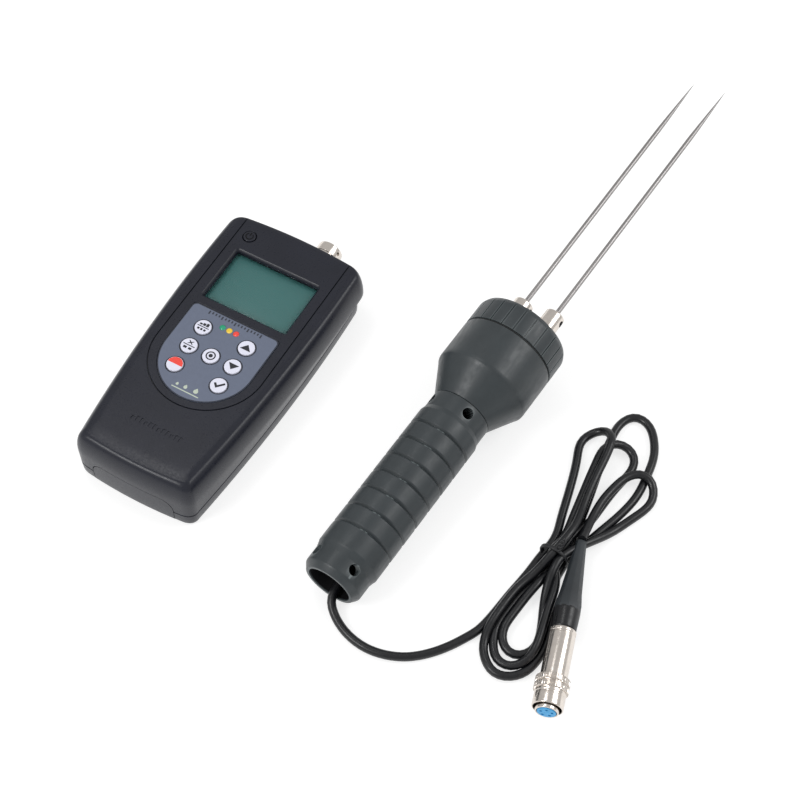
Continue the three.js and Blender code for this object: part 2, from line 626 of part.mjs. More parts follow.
function leadTube() {
  const curve = new THREE.CatmullRomCurve3(LEAD_ROUTE.map((p) => new THREE.Vector3(...p)));
  const section = new THREE.Shape();
  section.absellipse(0, 0, CORD.radius, CORD.radius, 0, 2 * Math.PI, false, 0);
  const geometry = new THREE.ExtrudeGeometry(section, {
    steps: CORD.steps, extrudePath: curve, curveSegments: CORD.sides / 2, bevelEnabled: false,
  });
  return solidOf(geometry);
}

// The folded lead: a broad foot, a waist under the tie and a broader head of loose loops.
const HANK_OUTLINE = [
  [141.6, -142.9], [137, -140.9], [137.4, -118], [138.4, -98], [133.4, -78], [127, -48], [122.4, -24],
  [125, -14], [129.8, -10.4], [130.4, -1], [136, 4.6], [146, 3], [154.6, -4], [161, -18], [168, -26],
  [170.4, -38], [168.4, -53], [163.6, -67], [160.2, -75], [150, -79], [153.6, -94], [158, -107],
  [162, -119.4], [167.6, -133.6], [169.2, -144], [167.4, -153], [161.4, -159.8], [154, -162],
  [147.2, -158.6], [143.4, -150.6],
];

function hankSolid() {
  const shape = new THREE.Shape(HANK_OUTLINE.map(([x, y]) => new THREE.Vector2(x, y)));
  const y = HANK.tieY;
  const half = HANK.tieGroove / 2;
  const waist = cut(box(110, 190, y - half, y + half, -CLEAR, 20), box(139.6, 150.6, y - 5, y + 5, 2.2, 10.2));
  return cut(extruded(shape, 0, HANK.height), waist);
}

// The tie is a band round the waist with one tail standing up.
function tieBand() {
  const y = HANK.tieY;
  const ring = cut(box(137.2, 153, y - 0.9, y + 0.9, 0.2, 12), box(139.1, 151.1, y - 2, y + 2, 1.9, 10.5));
  return join(ring, box(148.2, 149.8, y - 0.8, y + 0.8, 11, 16.5));
}

function buildLead() {
  const lead = new THREE.Group();
  lead.add(piece('cord_lead', leadTube(), blackRubber()));
  lead.add(piece('cord_hank', hankSolid(), blackRubber()));
  lead.add(piece('cord_tie', tieBand(), blackRubber()));
  return lead;
}

// ---------------------------------------------------------------- plug
function fluted(radius, depth, y0, y1, count) {
  const shape = new THREE.Shape();
  for (let i = 0; i < 2 * count; i += 1) {
    const angle = (i * Math.PI) / count;
    const r = i % 2 ? radius - depth : radius;
    const point = [r * Math.cos(angle), r * Math.sin(angle)];
    if (i) shape.lineTo(...point);
    else shape.moveTo(...point);
  }
  return extruded(shape, -y1, -y0).rotate([90, 0, 0]);
}

function couplingSleeve(start) {
  const { ring, sleeve, bore, ringAt, sleeveEnd } = PLUG;
  const at = start + ringAt;
  const end = start + sleeveEnd;
  const tube = turned([[0, at], [sleeve, at], [sleeve, end - 0.5], [sleeve - 0.5, end], [0, end]], 24);
  const rings = KNURL.rings.map(([y0, y1]) => fluted(ring, KNURL.depth, at + y0, at + y1, KNURL.teeth));
  const hole = turned([[0, at - CLEAR], [bore, at - CLEAR], [bore, end + CLEAR], [0, end + CLEAR]], 24);
  return cut(join(tube, rings), hole);
}

function buildPlug() {
  const plug = new THREE.Group();
  const { boot, bootThin, bootWide, bootNose, barrel, ringAt, nose } = PLUG;
  const start = boot + GAP;
  const barrelEnd = start + ringAt + PLUG.inside;
  const bootSolid = turned([
    [0, 0], [bootThin, 0], [bootWide - 1, 0.6 * boot], [bootWide, 0.78 * boot], [bootNose, boot], [0, boot],
  ], 10);
  plug.add(piece('plug_boot', bootSolid, blackRubber()));
  const body = turned([[0, start], [barrel, start], [barrel, barrelEnd], [0, barrelEnd]], 24);
  plug.add(piece('plug_barrel', body, nickel()));
  plug.add(piece('coupling_sleeve', couplingSleeve(start), nickel()));
  const ringBack = barrelEnd + GAP;
  const front = start + nose;
  const inner = turnedTube([
    [4.9, ringBack], [5.7, ringBack], [5.7, front - 0.4], [5.4, front], [4.9, front],
  ], 24);
  plug.add(piece('plug_inner_ring', inner, nickel()));
  const contacts = Array.from({ length: 5 }, (_, i) => {
    const angle = THREE.MathUtils.degToRad(72 * i);
    const geometry = new THREE.CylinderGeometry(0.7, 0.7, 6, 8);
    geometry.translate(2.8 * Math.sin(angle), front, 2.8 * Math.cos(angle));
    return solidOf(geometry);
  });
  const core = turned([
    [0, ringBack], [4.6, ringBack], [4.6, front], [4.2, front + 0.4], [0, front + 0.4],
  ], 24);
  plug.add(piece('plug_insulator', cut(core, contacts), finish('#3aa0d8', 0.45, 0)));
  plug.position.set(PLUG.x, PLUG.y, PLUG.z);
  plug.rotation.z = THREE.MathUtils.degToRad(PLUG.heading);
  return plug;
}

const meter = new THREE.Group();
meter.add(buildReader(), buildProbe(), buildLead(), buildPlug());
export default meter;
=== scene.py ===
import json
import math

import bmesh
import bpy
import numpy as np
from mathutils import Matrix, Vector


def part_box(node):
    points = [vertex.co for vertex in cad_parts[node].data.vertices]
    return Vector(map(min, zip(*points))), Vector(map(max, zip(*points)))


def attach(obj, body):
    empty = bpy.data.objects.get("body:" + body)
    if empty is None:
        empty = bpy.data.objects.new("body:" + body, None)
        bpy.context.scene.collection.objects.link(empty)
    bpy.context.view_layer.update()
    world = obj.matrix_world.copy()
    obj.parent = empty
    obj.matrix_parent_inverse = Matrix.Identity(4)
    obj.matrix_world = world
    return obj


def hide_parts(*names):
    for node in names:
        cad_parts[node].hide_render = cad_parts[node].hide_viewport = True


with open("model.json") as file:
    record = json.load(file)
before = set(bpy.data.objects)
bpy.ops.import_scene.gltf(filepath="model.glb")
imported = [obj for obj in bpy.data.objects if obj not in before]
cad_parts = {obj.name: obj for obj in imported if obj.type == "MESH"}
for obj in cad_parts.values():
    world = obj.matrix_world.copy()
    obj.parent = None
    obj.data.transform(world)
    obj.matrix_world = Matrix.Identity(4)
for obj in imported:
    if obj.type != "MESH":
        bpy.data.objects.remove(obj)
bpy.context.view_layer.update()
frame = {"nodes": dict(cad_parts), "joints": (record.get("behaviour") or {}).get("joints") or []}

MM = 0.001


# ---- helpers
def added(name, data, place=None):
    """A new object in the scene."""
    obj = bpy.data.objects.new(name, data)
    bpy.context.scene.collection.objects.link(obj)
    if place is not None:
        obj.matrix_world = place
    return obj


def moved(place, x=0, y=0, z=0):
    return place @ Matrix.Translation((x * MM, y * MM, z * MM))


def rolled(place, degrees, axis="Y"):
    return place @ Matrix.Rotation(math.radians(degrees), 4, axis)


def aimed(obj, place, target):
    """Puts a lamp or a camera at a place, looking at a target."""
    obj.location = place
    obj.rotation_euler = (Vector(target) - Vector(place)).to_track_quat("-Z", "Y").to_euler()


# ---- where things are
def joint(name):
    return next(j for j in frame["joints"] if j["name"] == name)


def middle(node):
    low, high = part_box(node)
    return (low + high) / 2


def reader_place():
    """The reader's own frame: y towards its socket, from the door's axis and the middle key."""
    axis = Vector(joint("battery_door_slide")["axis"])
    turn = Matrix.Rotation(math.atan2(axis.x, -axis.y), 4, "Z")
    key = middle("key_read")
    offset = turn @ Vector((0, KEY_ROW_Y - KEY_PITCH, 0)) * MM
    return Matrix.Translation((key.x - offset.x, key.y - offset.y, 0)) @ turn


def probe_place():
    """The probe's own frame: y along its axis from the tail, from the cap ring's hinge."""
    hinge = joint("front_cap_turn")
    axis = Vector(hinge["axis"]).normalized()
    tail = Vector(hinge["pos_m"]) - axis * CAP_MIDDLE * MM
    return Matrix.Translation(tail) @ Matrix.Rotation(math.asin(axis.z), 4, "X")


def front_place(probe):
    """The probe's frame rolled so that x runs from the left pin to the right pin."""
    across = probe.to_3x3().inverted() @ (middle("pin_right") - middle("pin_left"))
    return probe @ Matrix.Rotation(-math.atan2(across.z, across.x), 4, "Y")


def plug_place():
    """The plug's own frame: y from its boot to its nose."""
    axis = -Vector(joint("coupling_sleeve_pull")["axis"]).normalized()
    back = middle("plug_barrel") - axis * BARREL_MIDDLE * MM
    return Matrix.Translation(back) @ Matrix.Rotation(math.atan2(-axis.x, axis.y), 4, "Z")


KEY_PITCH = 12.9
KEY_ROW_Y = 6.6
CAP_MIDDLE = 158.8
BARREL_MIDDLE = 64.45
READER = reader_place()
PROBE = probe_place()
FRONT = front_place(PROBE)
PLUG = plug_place()


# ---- camera
def make_camera():
    """The lens and the place are those that the photograph's perspective gives."""
    data = bpy.data.cameras.new("camera")
    data.lens = 88.56
    data.sensor_width = 36
    data.clip_start, data.clip_end = 0.05, 20
    camera = added("camera", data)
    aimed(camera, (0.34695, -0.50946, 0.84176), (0.0317, -0.0570, 0))
    bpy.context.scene.camera = camera


make_camera()


# ---- materials
def srgb(r, g, b):
    """A linear colour from 0 to 255 display values."""
    return tuple((c / 255 / 12.92) if c < 10.3 else ((c / 255 + 0.055) / 1.055) ** 2.4 for c in (r, g, b))


class Look:
    """A procedural material. colour varies by mottle, roughness by spread, and relief adds bumps."""

    def __init__(self, name, colour, roughness, metallic=0.0):
        self.name, self.colour, self.roughness, self.height = name, colour, roughness, None
        self.material = bpy.data.materials.new(name)
        self.material.use_nodes = True
        self.tree = self.material.node_tree
        self.shader = self.tree.nodes["Principled BSDF"]
        self.fill(self.shader, {"Base Color": (*colour, 1), "Roughness": roughness, "Metallic": metallic})
        self.where = self.tree.nodes.new("ShaderNodeTexCoord").outputs["Object"]

    def fill(self, node, inputs):
        """Gives a node's inputs their numbers, or other nodes' outputs."""
        for key, value in inputs.items():
            if isinstance(value, bpy.types.NodeSocket):
                self.tree.links.new(value, node.inputs[key])
            else:
                node.inputs[key].default_value = value
        return node

    def node(self, kind, inputs, **settings):
        made = self.tree.nodes.new(kind)
        for key, value in settings.items():
            setattr(made, key, value)
        return self.fill(made, inputs)

    def noise(self, scale, detail=2, stretch=(1, 1, 1), rough=0.5):
        """Noise of that many cells a metre, stretched along an axis by a small factor."""
        mapping = self.node("ShaderNodeMapping", {"Vector": self.where, "Scale": stretch})
        inputs = {"Vector": mapping.outputs[0], "Scale": scale, "Detail": detail, "Roughness": rough}
        return self.node("ShaderNodeTexNoise", inputs).outputs[0]

    def bands(self, pitch):
        """Sine bands across the object's axis, one every pitch millimetres."""
        inputs = {"Vector": self.where, "Scale": 2 * math.pi / 20 / (pitch * MM), "Detail Scale": 2.0}
        return self.node("ShaderNodeTexWave", inputs, bands_direction="Y").outputs[1]

    def ranged(self, value, low, high, into_low=0.3, into_high=0.7):
        inputs = {"Value": value, "From Min": into_low, "From Max": into_high, "To Min": low, "To Max": high}
        return self.node("ShaderNodeMapRange", inputs).outputs[0]

    def paint(self, value, first, second):
        """Colours the surface between two colours, by value."""
        inputs = {0: value, 6: first, 7: second}
        self.painted = self.node("ShaderNodeMix", inputs, data_type="RGBA").outputs[2]
        self.fill(self.shader, {"Base Color": self.painted})

    def mottle(self, amount, scale, stretch=(1, 1, 1)):
        dark, light = ((*(min(c * k, 1) for c in self.colour), 1) for k in (1 - amount, 1 + amount))
        self.paint(self.ranged(self.noise(scale, 3, stretch, 0.6), 0, 1), dark, light)
        return self

    def painted_edge_highlight(self, colour):
        """Edges take a second colour where the surface is sharply convex: a painted highlight on the edges.
        """
        point = self.node("ShaderNodeNewGeometry", {}).outputs["Pointiness"]
        self.paint(self.ranged(point, 0, 1, 0.52, 0.62), self.painted, (*colour, 1))

    def spread(self, amount, scale, stretch=(1, 1, 1)):
        low, high = max(self.roughness - amount, 0.03), min(self.roughness + amount, 1)
        self.fill(self.shader, {"Roughness": self.ranged(self.noise(scale, 2, stretch), low, high)})
        return self

    def relief(self, value, depth):
        """Bumps of that depth in millimetres. Each call lies on top of the last."""
        under = {"Normal": self.height} if self.height else {}
        inputs = {"Strength": 1, "Distance": depth * MM, "Height": value, **under}
        self.height = self.node("ShaderNodeBump", inputs).outputs[0]
        self.fill(self.shader, {"Normal": self.height})

    def set(self, **values):
        self.fill(self.shader, {name.replace("_", " "): value for name, value in values.items()})


def look_of(name, colour, roughness, mottle, spread, reliefs=(), bands=None, painted_edge_highlight=None, metallic=0.0,
            **settings):
    """A finished material. Each relief is a noise's scale, its depth in millimetres, detail and stretch."""
    made = Look(name, srgb(*colour), roughness, metallic).mottle(*mottle).spread(*spread)
    made.set(**settings)
    # A painted highlight on sharp convex edges.
    if painted_edge_highlight:
        made.painted_edge_highlight(srgb(*painted_edge_highlight))
    if bands:
        made.relief(made.bands(bands[0]), bands[1])
    for scale, depth, *rest in reliefs:
        made.relief(made.noise(scale, *rest), depth)
    return made


def matte_look_of(name, colour):
    return look_of(name, colour, 0.5, (0.08, 900), (0.06, 1200), [(5000, 0.004)])


def lamp_of(name, colour):
    return look_of(name, colour, 0.3, (0.06, 900), (0.05, 1500), [(4000, 0.004)], Subsurface_Weight=0.15,
                   Subsurface_Scale=0.0006, Coat_Weight=0.3)


LOOKS = {made.name: made for made in (
    look_of("case_plastic", (28, 30, 40), 0.31, (0.1, 60), (0.05, 900), [(2600, 0.006), (220, 0.01)],
            Specular_IOR_Level=0.36),
    # The lighter edge colour is a painted highlight on the grip's groove edges.
    look_of("probe_plastic", (48, 54, 57), 0.4, (0.09, 90), (0.07, 500, (1, 0.3, 1)),
            [(1500, 0.006, 2, (0.15, 1, 0.15))], bands=(0.35, 0.003), painted_edge_highlight=(112, 120, 122)),
    look_of("nickel", (218, 210, 202), 0.2, (0.05, 240), (0.05, 900, (0.2, 1, 0.2)),
            [(2500, 0.0008, 2, (0.1, 1, 0.1))], metallic=1.0),
    look_of("pin_steel", (158, 155, 154), 0.38, (0.12, 500, (1, 0.06, 1)), (0.07, 900, (1, 0.05, 1)),
            [(5200, 0.004, 2, (1, 0.02, 1))], metallic=1.0),
    look_of("steel", (150, 148, 145), 0.34, (0.12, 500), (0.08, 1200), [(3000, 0.006)], metallic=1.0),
    look_of("black_steel", (40, 40, 44), 0.38, (0.15, 700), (0.08, 1200), [(3000, 0.006)], metallic=1.0),
    look_of("cord_rubber", (13, 14, 18), 0.34, (0.2, 90), (0.08, 400), [(1300, 0.005, 3)]),
    # The lighter edge colour is a painted highlight along the boot's flats.
    look_of("boot_rubber", (34, 39, 43), 0.42, (0.1, 200), (0.08, 700), [(1800, 0.016, 3)],
            painted_edge_highlight=(70, 76, 80)),
    look_of("rubber", (26, 27, 28), 0.62, (0.12, 300), (0.08, 700), [(1800, 0.015)]),
    look_of("label_film", (98, 106, 125), 0.46, (0.035, 400), (0.05, 900), [(5000, 0.006)]),
    look_of("key_plastic", (224, 225, 240), 0.33, (0.02, 500), (0.06, 900), [(1800, 0.006)], Coat_Weight=0.25,
            Coat_Roughness=0.2),
    look_of("display", (63, 117, 115), 0.4, (0.04, 25), (0.03, 200), Coat_Weight=0.2, Coat_Roughness=0.2),
    look_of("window_plastic", (60, 78, 76), 0.12, (0.02, 200), (0.03, 600), Alpha=0.08, IOR=1.49),
    look_of("circuit_board", (30, 84, 52), 0.4, (0.2, 700), (0.1, 1500), [(2000, 0.02)]),
    look_of("cell_sleeve", (150, 138, 78), 0.32, (0.12, 120, (1, 0.2, 1)), (0.08, 700), [(1800, 0.008)],
            metallic=0.55),
    look_of("contact_metal", (214, 178, 96), 0.28, (0.12, 500), (0.08, 900), [(2600, 0.006)], metallic=1.0),
    look_of("blue_insulator", (58, 158, 214), 0.42, (0.1, 600), (0.08, 900), [(2400, 0.012)]),
    # Black plastic parts, and the painted shade inside the probe's bore.
    look_of("black_plastic", (14, 14, 16), 0.6, (0.1, 600), (0.08, 900), [(2400, 0.01)],
            Specular_IOR_Level=0.15),
    matte_look_of("tie_plastic", (24, 25, 28)), lamp_of("lamp_green", (24, 154, 114)),
    lamp_of("lamp_yellow", (234, 198, 52)), lamp_of("lamp_red", (236, 70, 58)),
    # The dark colour serves print and the painted shadow round the label's edge.
    matte_look_of("dark_print_and_shade", (38, 42, 54)), matte_look_of("ink_black", (34, 35, 42)), matte_look_of("ink_red", (238, 74, 62)),
    matte_look_of("ink_pale", (186, 196, 180)),
)}
LOOKS["window_plastic"].material.surface_render_method = "BLENDED"


# ---- mesh helpers
def shade(mesh, angle):
    mesh.polygons.foreach_set("use_smooth", [True] * len(mesh.polygons))
    mesh.set_sharp_from_angle(angle=math.radians(angle))


def finished(name, mesh, place, look, angle):
    """An object from a mesh: corners joined, facing out, shaded smooth up to angle."""
    work = bmesh.new()
    work.from_mesh(mesh)
    bmesh.ops.remove_doubles(work, verts=work.verts, dist=1e-7)
    bmesh.ops.recalc_face_normals(work, faces=work.faces)
    work.to_mesh(mesh)
    work.free()
    mesh.materials.clear()
    if look:
        mesh.materials.append(LOOKS[look].material)
    shade(mesh, angle)
    return added(name, mesh, place)


def shape(name, points, faces, place, look, angle=32):
    """An object from points in millimetres."""
    mesh = bpy.data.meshes.new(name)
    mesh.from_pydata([tuple(c * MM for c in p) for p in points], [], faces)
    return finished(name, mesh, place, look, angle)


def mesh_of(obj):
    """The object's mesh with its modifiers or its curve's thickness."""
    bpy.context.view_layer.update()
    return bpy.data.meshes.new_from_object(obj.evaluated_get(bpy.context.evaluated_depsgraph_get()))


def applied(obj, angle=32):
    """Turns the object's modifiers into mesh."""
    mesh = mesh_of(obj)
    obj.modifiers.clear()
    obj.data = mesh
    shade(mesh, angle)
    return obj


def cut(obj, *tools, operation="DIFFERENCE"):
    for tool in tools:
        change = obj.modifiers.new("cut", "BOOLEAN")
        change.operation, change.object, change.solver = operation, tool, "EXACT"
    applied(obj)
    for tool in tools:
        bpy.data.objects.remove(tool)
    return obj


def joined(objects):
    """Several objects as one mesh in the first one's frame, with their materials."""
    first = objects[0]
    work = bmesh.new()
    materials = list(dict.fromkeys(slot for obj in objects for slot in obj.data.materials))
    for obj in objects:
        part = bmesh.new()
        part.from_mesh(obj.data)
        part.transform(first.matrix_world.inverted() @ obj.matrix_world)
        for face in part.faces if materials else ():
            face.material_index = materials.index(obj.data.materials[face.material_index])
        spare = bpy.data.meshes.new("spare")
        part.to_mesh(spare)
        part.free()
        work.from_mesh(spare)
        bpy.data.meshes.remove(spare)
    first.data = bpy.data.meshes.new(first.name)
    work.to_mesh(first.data)
    work.free()
    for slot in materials:
        first.data.materials.append(slot)
    for obj in objects[1:]:
        bpy.data.objects.remove(obj)
    return first


def rounded(profile):
    """A profile whose points may carry a third number: the size of the round that replaces them."""
    result = []
    for i, point in enumerate(profile):
        r, y = point[:2]
        if len(point) < 3 or i in (0, len(profile) - 1):
            result.append((r, y))
            continue
        here = Vector((r, y))
        ends = []
        for other in (profile[i - 1], profile[i + 1]):
            way = Vector(other[:2]) - here
            ends.append(here + way.normalized() * min(point[2], way.length * 0.49))
        for t in (0, 0.25, 0.5, 0.75, 1):
            result.append(tuple(ends[0] * (1 - t) ** 2 + here * 2 * t * (1 - t) + ends[1] * t * t))
    return result


def turned(name, profile, place, look, sides=96, closed=False, angle=32, about="Y"):
    """A turned piece round the local Y or Z axis. A closed profile is a ring that misses the axis."""
    ring = rounded(profile)
    points, faces = [], []
    for k in range(sides):
        a = 2 * math.pi * k / sides
        for r, y in ring:
            across, up = r * math.sin(a), r * math.cos(a)
            points.append((across, y, up) if about == "Y" else (across, up, y))
    n = len(ring)
    pairs = [(i, i + 1) for i in range(n - 1)] + ([(n - 1, 0)] if closed else [])
    for k in range(sides):
        b, c = k * n, (k + 1) % sides * n
        for i, j in pairs:
            quad = [b + i, b + j, c + j, c + i]
            if ring[i][0] < 1e-6:
                quad = [b + i, b + j, c + j]
            elif ring[j][0] < 1e-6:
                quad = [b + i, b + j, c + i]
            faces.append(quad)
    return shape(name, points, faces, place, look, angle)


def rod(place, radius, y0, y1, sides=24, look=None, about="Y"):
    """A plain round rod, mostly as a cutter."""
    return turned("rod", [(0, y0), (radius, y0), (radius, y1), (0, y1)], place, look, sides, about=about)


def loft(name, rings, place, look=None, angle=32):
    """A closed solid through rings of as many points each."""
    n = len(rings[0])
    points = [p for ring in rings for p in ring]
    faces = [list(range(n))[::-1], [len(points) - n + i for i in range(n)]]
    for base in range(0, len(points) - n, n):
        for i in range(n):
            j = (i + 1) % n
            faces.append([base + i, base + j, base + n + j, base + n + i])
    return shape(name, points, faces, place, look, angle)


def block(name, x, y, z, place, look, edge=0.2):
    """A box from pairs of limits, its edges rounded."""
    corners = [(a, b, c) for c in z for a, b in ((x[0], y[0]), (x[1], y[0]), (x[1], y[1]), (x[0], y[1]))]
    obj = loft(name, [corners[:4], corners[4:]], place, look)
    if edge:
        bevel = obj.modifiers.new("edge", "BEVEL")
        bevel.width, bevel.segments = edge * MM, 3
        applied(obj)
    return obj


def arc_points(x, y, r, start, end, steps):
    """Points along an arc about x, y, between two angles in degrees."""
    return [(x + r * math.cos(a), y + r * math.sin(a))
            for a in np.linspace(math.radians(start), math.radians(end), steps + 1)]


def rounded_outline(half_x, y0, y1, r, steps=8):
    """A rectangle about x = 0 with round corners, anticlockwise."""
    x = half_x - r
    return [point for cx, cy, start in ((x, y0 + r, -90), (x, y1 - r, 0), (-x, y1 - r, 90), (-x, y0 + r, 180))
            for point in arc_points(cx, cy, r, start, start + 90, steps)]


def circle(x, y, r, steps=48):
    return arc_points(x, y, r, 0, 360, steps)[:-1]


def flat(name, outlines, z0, z1, place, look):
    """A plate from outlines in the local XY plane. An outline inside another is a hole."""
    data = bpy.data.curves.new(name, "CURVE")
    data.dimensions, data.fill_mode = "2D", "BOTH"
    data.extrude = (z1 - z0) / 2 * MM
    for outline in outlines:
        spline = data.splines.new("POLY")
        spline.points.add(len(outline) - 1)
        for point, (x, y) in zip(spline.points, outline):
            point.co = (x * MM, y * MM, 0, 1)
        spline.use_cyclic_u = True
    source = added(name + "_source", data)
    mesh = mesh_of(source)
    bpy.data.objects.remove(source)
    mesh.transform(Matrix.Translation((0, 0, (z0 + z1) / 2 * MM)))
    return finished(name, mesh, place, look, 32)


def smoothed(points, steps):
    """Rows along a Catmull-Rom line through rows of numbers, with that many steps between two."""
    p = np.array(points, float)
    ends = np.vstack([2 * p[0] - p[1], p, 2 * p[-1] - p[-2]])
    t = np.linspace(0, 1, steps, endpoint=False)[:, None]
    fine = [0.5 * (2 * b + (c - a) * t + (2 * a - 5 * b + 4 * c - d) * t ** 2
                   + (3 * b - a - 3 * c + d) * t ** 3)
            for a, b, c, d in zip(ends, ends[1:], ends[2:], ends[3:])]
    return np.vstack([*fine, p[-1:]])


def smooth_line(points, count):
    """A smooth line through points, sampled evenly by length."""
    fine = smoothed(points, 24)
    along = np.r_[0, np.cumsum(np.linalg.norm(np.diff(fine, axis=0), axis=1))]
    at = np.linspace(0, along[-1], count)
    return np.column_stack([np.interp(at, along, fine[:, i]) for i in range(3)])


def line_object(name, points, radius, look, sides=6):
    """A round wire along points, in millimetres."""
    data = bpy.data.curves.new(name, "CURVE")
    data.dimensions = "3D"
    data.bevel_depth, data.bevel_resolution, data.use_fill_caps = radius * MM, sides, True
    spline = data.splines.new("POLY")
    spline.points.add(len(points) - 1)
    for point, p in zip(spline.points, points):
        point.co = (*(c * MM for c in p), 1)
    spline.use_smooth = True
    data.materials.append(LOOKS[look].material)
    return added(name, data)


def keep(obj, slot, *nodes, body="meter"):
    """Puts a finished piece on its body, in place of its CAD nodes."""
    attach(obj, body)
    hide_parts(*nodes)
    return obj


# ---- lead
CORD_RADIUS = 2.2
BEND_RADIUS = 9.5
# Out of the gland, over the lip of the tail and along the floor to the folded part.
LEAD_ROUTE = [
    (69.8, -134.3, 18.3), (69.8, -141, 17.4), (70, -149, 14.2), (70.3, -157, 10.4), (70.7, -164.5, 8),
    (71.4, -171.2, 6.9), (74, -174.6, 4.7), (78.6, -177.6, 2.9), (84.6, -180.2, 2.3), (92, -181.9, 2.25),
    (100.5, -181.9, 2.25), (109, -179.6, 2.25), (117.4, -175, 2.25), (124.6, -168, 2.25),
    (130.6, -159.4, 2.25), (135.4, -150, 2.3), (138.6, -142.2, 2.5),
]
# The folded part: four loops above the tie and three below it, each a stretch from tie to tie.
UP_TO_TIE = [(140.3, -128, 2.3), (141, -112, 3.4)]
LOOP_LEFT = [(141.2, -80, 6.5), (136.7, -68, 5), (131.3, -50.7, 3), (126.7, -34, 2.4), (124.6, -25, 2.6),
             (125.6, -18.4, 5.2), (129.4, -16.2, 8.6), (132.6, -20.2, 11.8), (133.9, -27, 12),
             (136.6, -34.5, 11.4), (141.6, -54, 10.6), (145.4, -67, 10), (147.6, -77.3, 9)]
FOOT_OUTER = [(144, -104, 8), (140.8, -118, 6.6), (140.9, -136.9, 4), (143.1, -147.3, 2.3),
              (147.4, -153.8, 2.2), (154.7, -158.1, 2.2), (161.8, -156.2, 2.2), (167.1, -148.8, 2.2),
              (167.5, -136.6, 2.3), (163.6, -123.4, 2.5), (157, -110.8, 3), (151.6, -100, 3.6)]
LOOP_BIG = [(148.3, -78, 5), (142.6, -57, 2.4), (137, -34.9, 2.2), (133.9, -18, 2.6), (132.9, -7.4, 2.3),
            (135, 0.4, 2.3), (139.6, 2.4, 2.3), (146.4, -0.7, 2.2), (154.7, -10.8, 2.2), (158.7, -22.3, 2.2),
            (161.3, -40.1, 2.2), (158.1, -63, 2.4), (153.5, -78.1, 3)]
FOOT_MIDDLE = [(146, -106, 4.6), (143.2, -118, 4.5), (143.9, -134.2, 3.4), (146.5, -143.8, 4.6),
               (152.4, -151.3, 5), (160, -151.5, 5), (165, -145.7, 5.4), (164.8, -136.2, 5.6),
               (157.8, -116.7, 6), (151.6, -101, 7)]
LOOP_INNER = [(144.6, -78, 7), (141.5, -58, 6), (138.6, -40.6, 4.6), (136.8, -24.5, 4.6), (138.4, -19.2, 4.4),
              (142.5, -17, 4), (146.8, -18.9, 3.2), (148.6, -24.5, 2.6), (149.2, -45.7, 3), (149.6, -64, 5.4),
              (148.6, -78, 8.6)]
FOOT_INNER = [(147.6, -106, 8.6), (147, -120, 7.6), (148.2, -133.9, 5), (150.2, -140, 3.4), (153.2, -144, 3),
              (157, -145.6, 3), (160.8, -143.9, 3), (162.8, -138.6, 3), (160.9, -125.9, 3.6),
              (155.8, -111.4, 7), (152, -100, 9)]
LOOP_RIGHT = [(153.6, -80, 8.6), (158.6, -68, 6.4), (163.2, -55.5, 5), (166.8, -42.9, 5), (167, -35, 4.6),
              (164.4, -29.3, 5), (160, -27, 5.6), (155.4, -29.6, 6), (152.2, -38.2, 6), (149.9, -51.7, 7),
              (151.1, -66, 8.2), (153.9, -78.9, 8.6)]
TIE_Y = -91.5
TIE_PLACES = [(142, 6), (146.4, 9.8), (150.4, 2.2), (144.2, 2.2), (144.2, 9.8), (148.6, 6), (150.4, 9.8)]
STRETCHES = [LOOP_LEFT, FOOT_OUTER, LOOP_BIG, FOOT_MIDDLE, LOOP_INNER, FOOT_INNER, LOOP_RIGHT]


def cord_line():
    """The whole lead as one even line, relaxed so that strands lie on each other."""
    points = LEAD_ROUTE + UP_TO_TIE
    for (x, z), stretch in zip(TIE_PLACES, STRETCHES):
        points = points + [(x, TIE_Y, z)] + stretch
    rough = smooth_line(points, 400)
    length = np.linalg.norm(np.diff(rough, axis=0), axis=1).sum()
    return relaxed(smooth_line(points, int(length / 2.6)))


def evened(values, times):
    """Runs a short average along a line of values, its two ends kept."""
    for _ in range(times):
        middle_part = values[:-2] / 4 + values[1:-1] / 2 + values[2:] / 4
        values = np.vstack([values[:1], middle_part, values[-1:]])
    return values


def relaxed(line):
    """Shifts strands apart to a diameter, mostly upwards, opens the bends to their least radius, and lets
    all down onto the floor. The shift is kept smooth along the lead, so that the strands stay straight."""
    spacing = np.linalg.norm(np.diff(line, axis=0), axis=1).mean()
    index = np.arange(len(line))
    along = np.abs(index[:, None] - index[None, :]) * spacing
    round_bend = 2 * BEND_RADIUS * np.sin(np.minimum(along / (2 * BEND_RADIUS), math.pi / 2))
    bending = along < math.pi * BEND_RADIUS
    apart = np.where(bending, round_bend, 2 * CORD_RADIUS)
    stiffness = np.where(bending, 0.06, 0.35)
    free = np.clip((index * spacing - 50) / 20, 0, 1)[:, None]
    shift = np.zeros_like(line)
    for _ in range(160):
        now = line + shift
        gap = now[:, None, :] - now[None, :, :]
        distance = np.sqrt((gap ** 2).sum(2)) + 1e-9
        push = np.clip(apart - distance, 0, None) / distance * stiffness
        flat_part = np.where(bending, push, 0.3 * push)
        move = np.stack([(gap[:, :, k] * (push if k == 2 else flat_part)).sum(1) for k in range(3)], axis=1)
        move[:, 2] -= 0.05
        shift = evened(shift * (0.99, 0.99, 1) + np.clip(move, -0.6, 0.6), 1) * free
        shift[:, 2] += np.clip(CORD_RADIUS - (line + shift)[:, 2], 0, None)
    settled = evened(line + shift, 2)
    settled[:, 2] = np.maximum(settled[:, 2], CORD_RADIUS)
    return settled


def make_cord():
    line = cord_line()
    length = float(np.linalg.norm(np.diff(line, axis=0), axis=1).sum())
    cord = line_object("lead", line, CORD_RADIUS, "cord_rubber")
    keep(cord, "cord_rubber", "cord_lead", "cord_hank")
    return cord, length


CORD, CORD_LENGTH = make_cord()


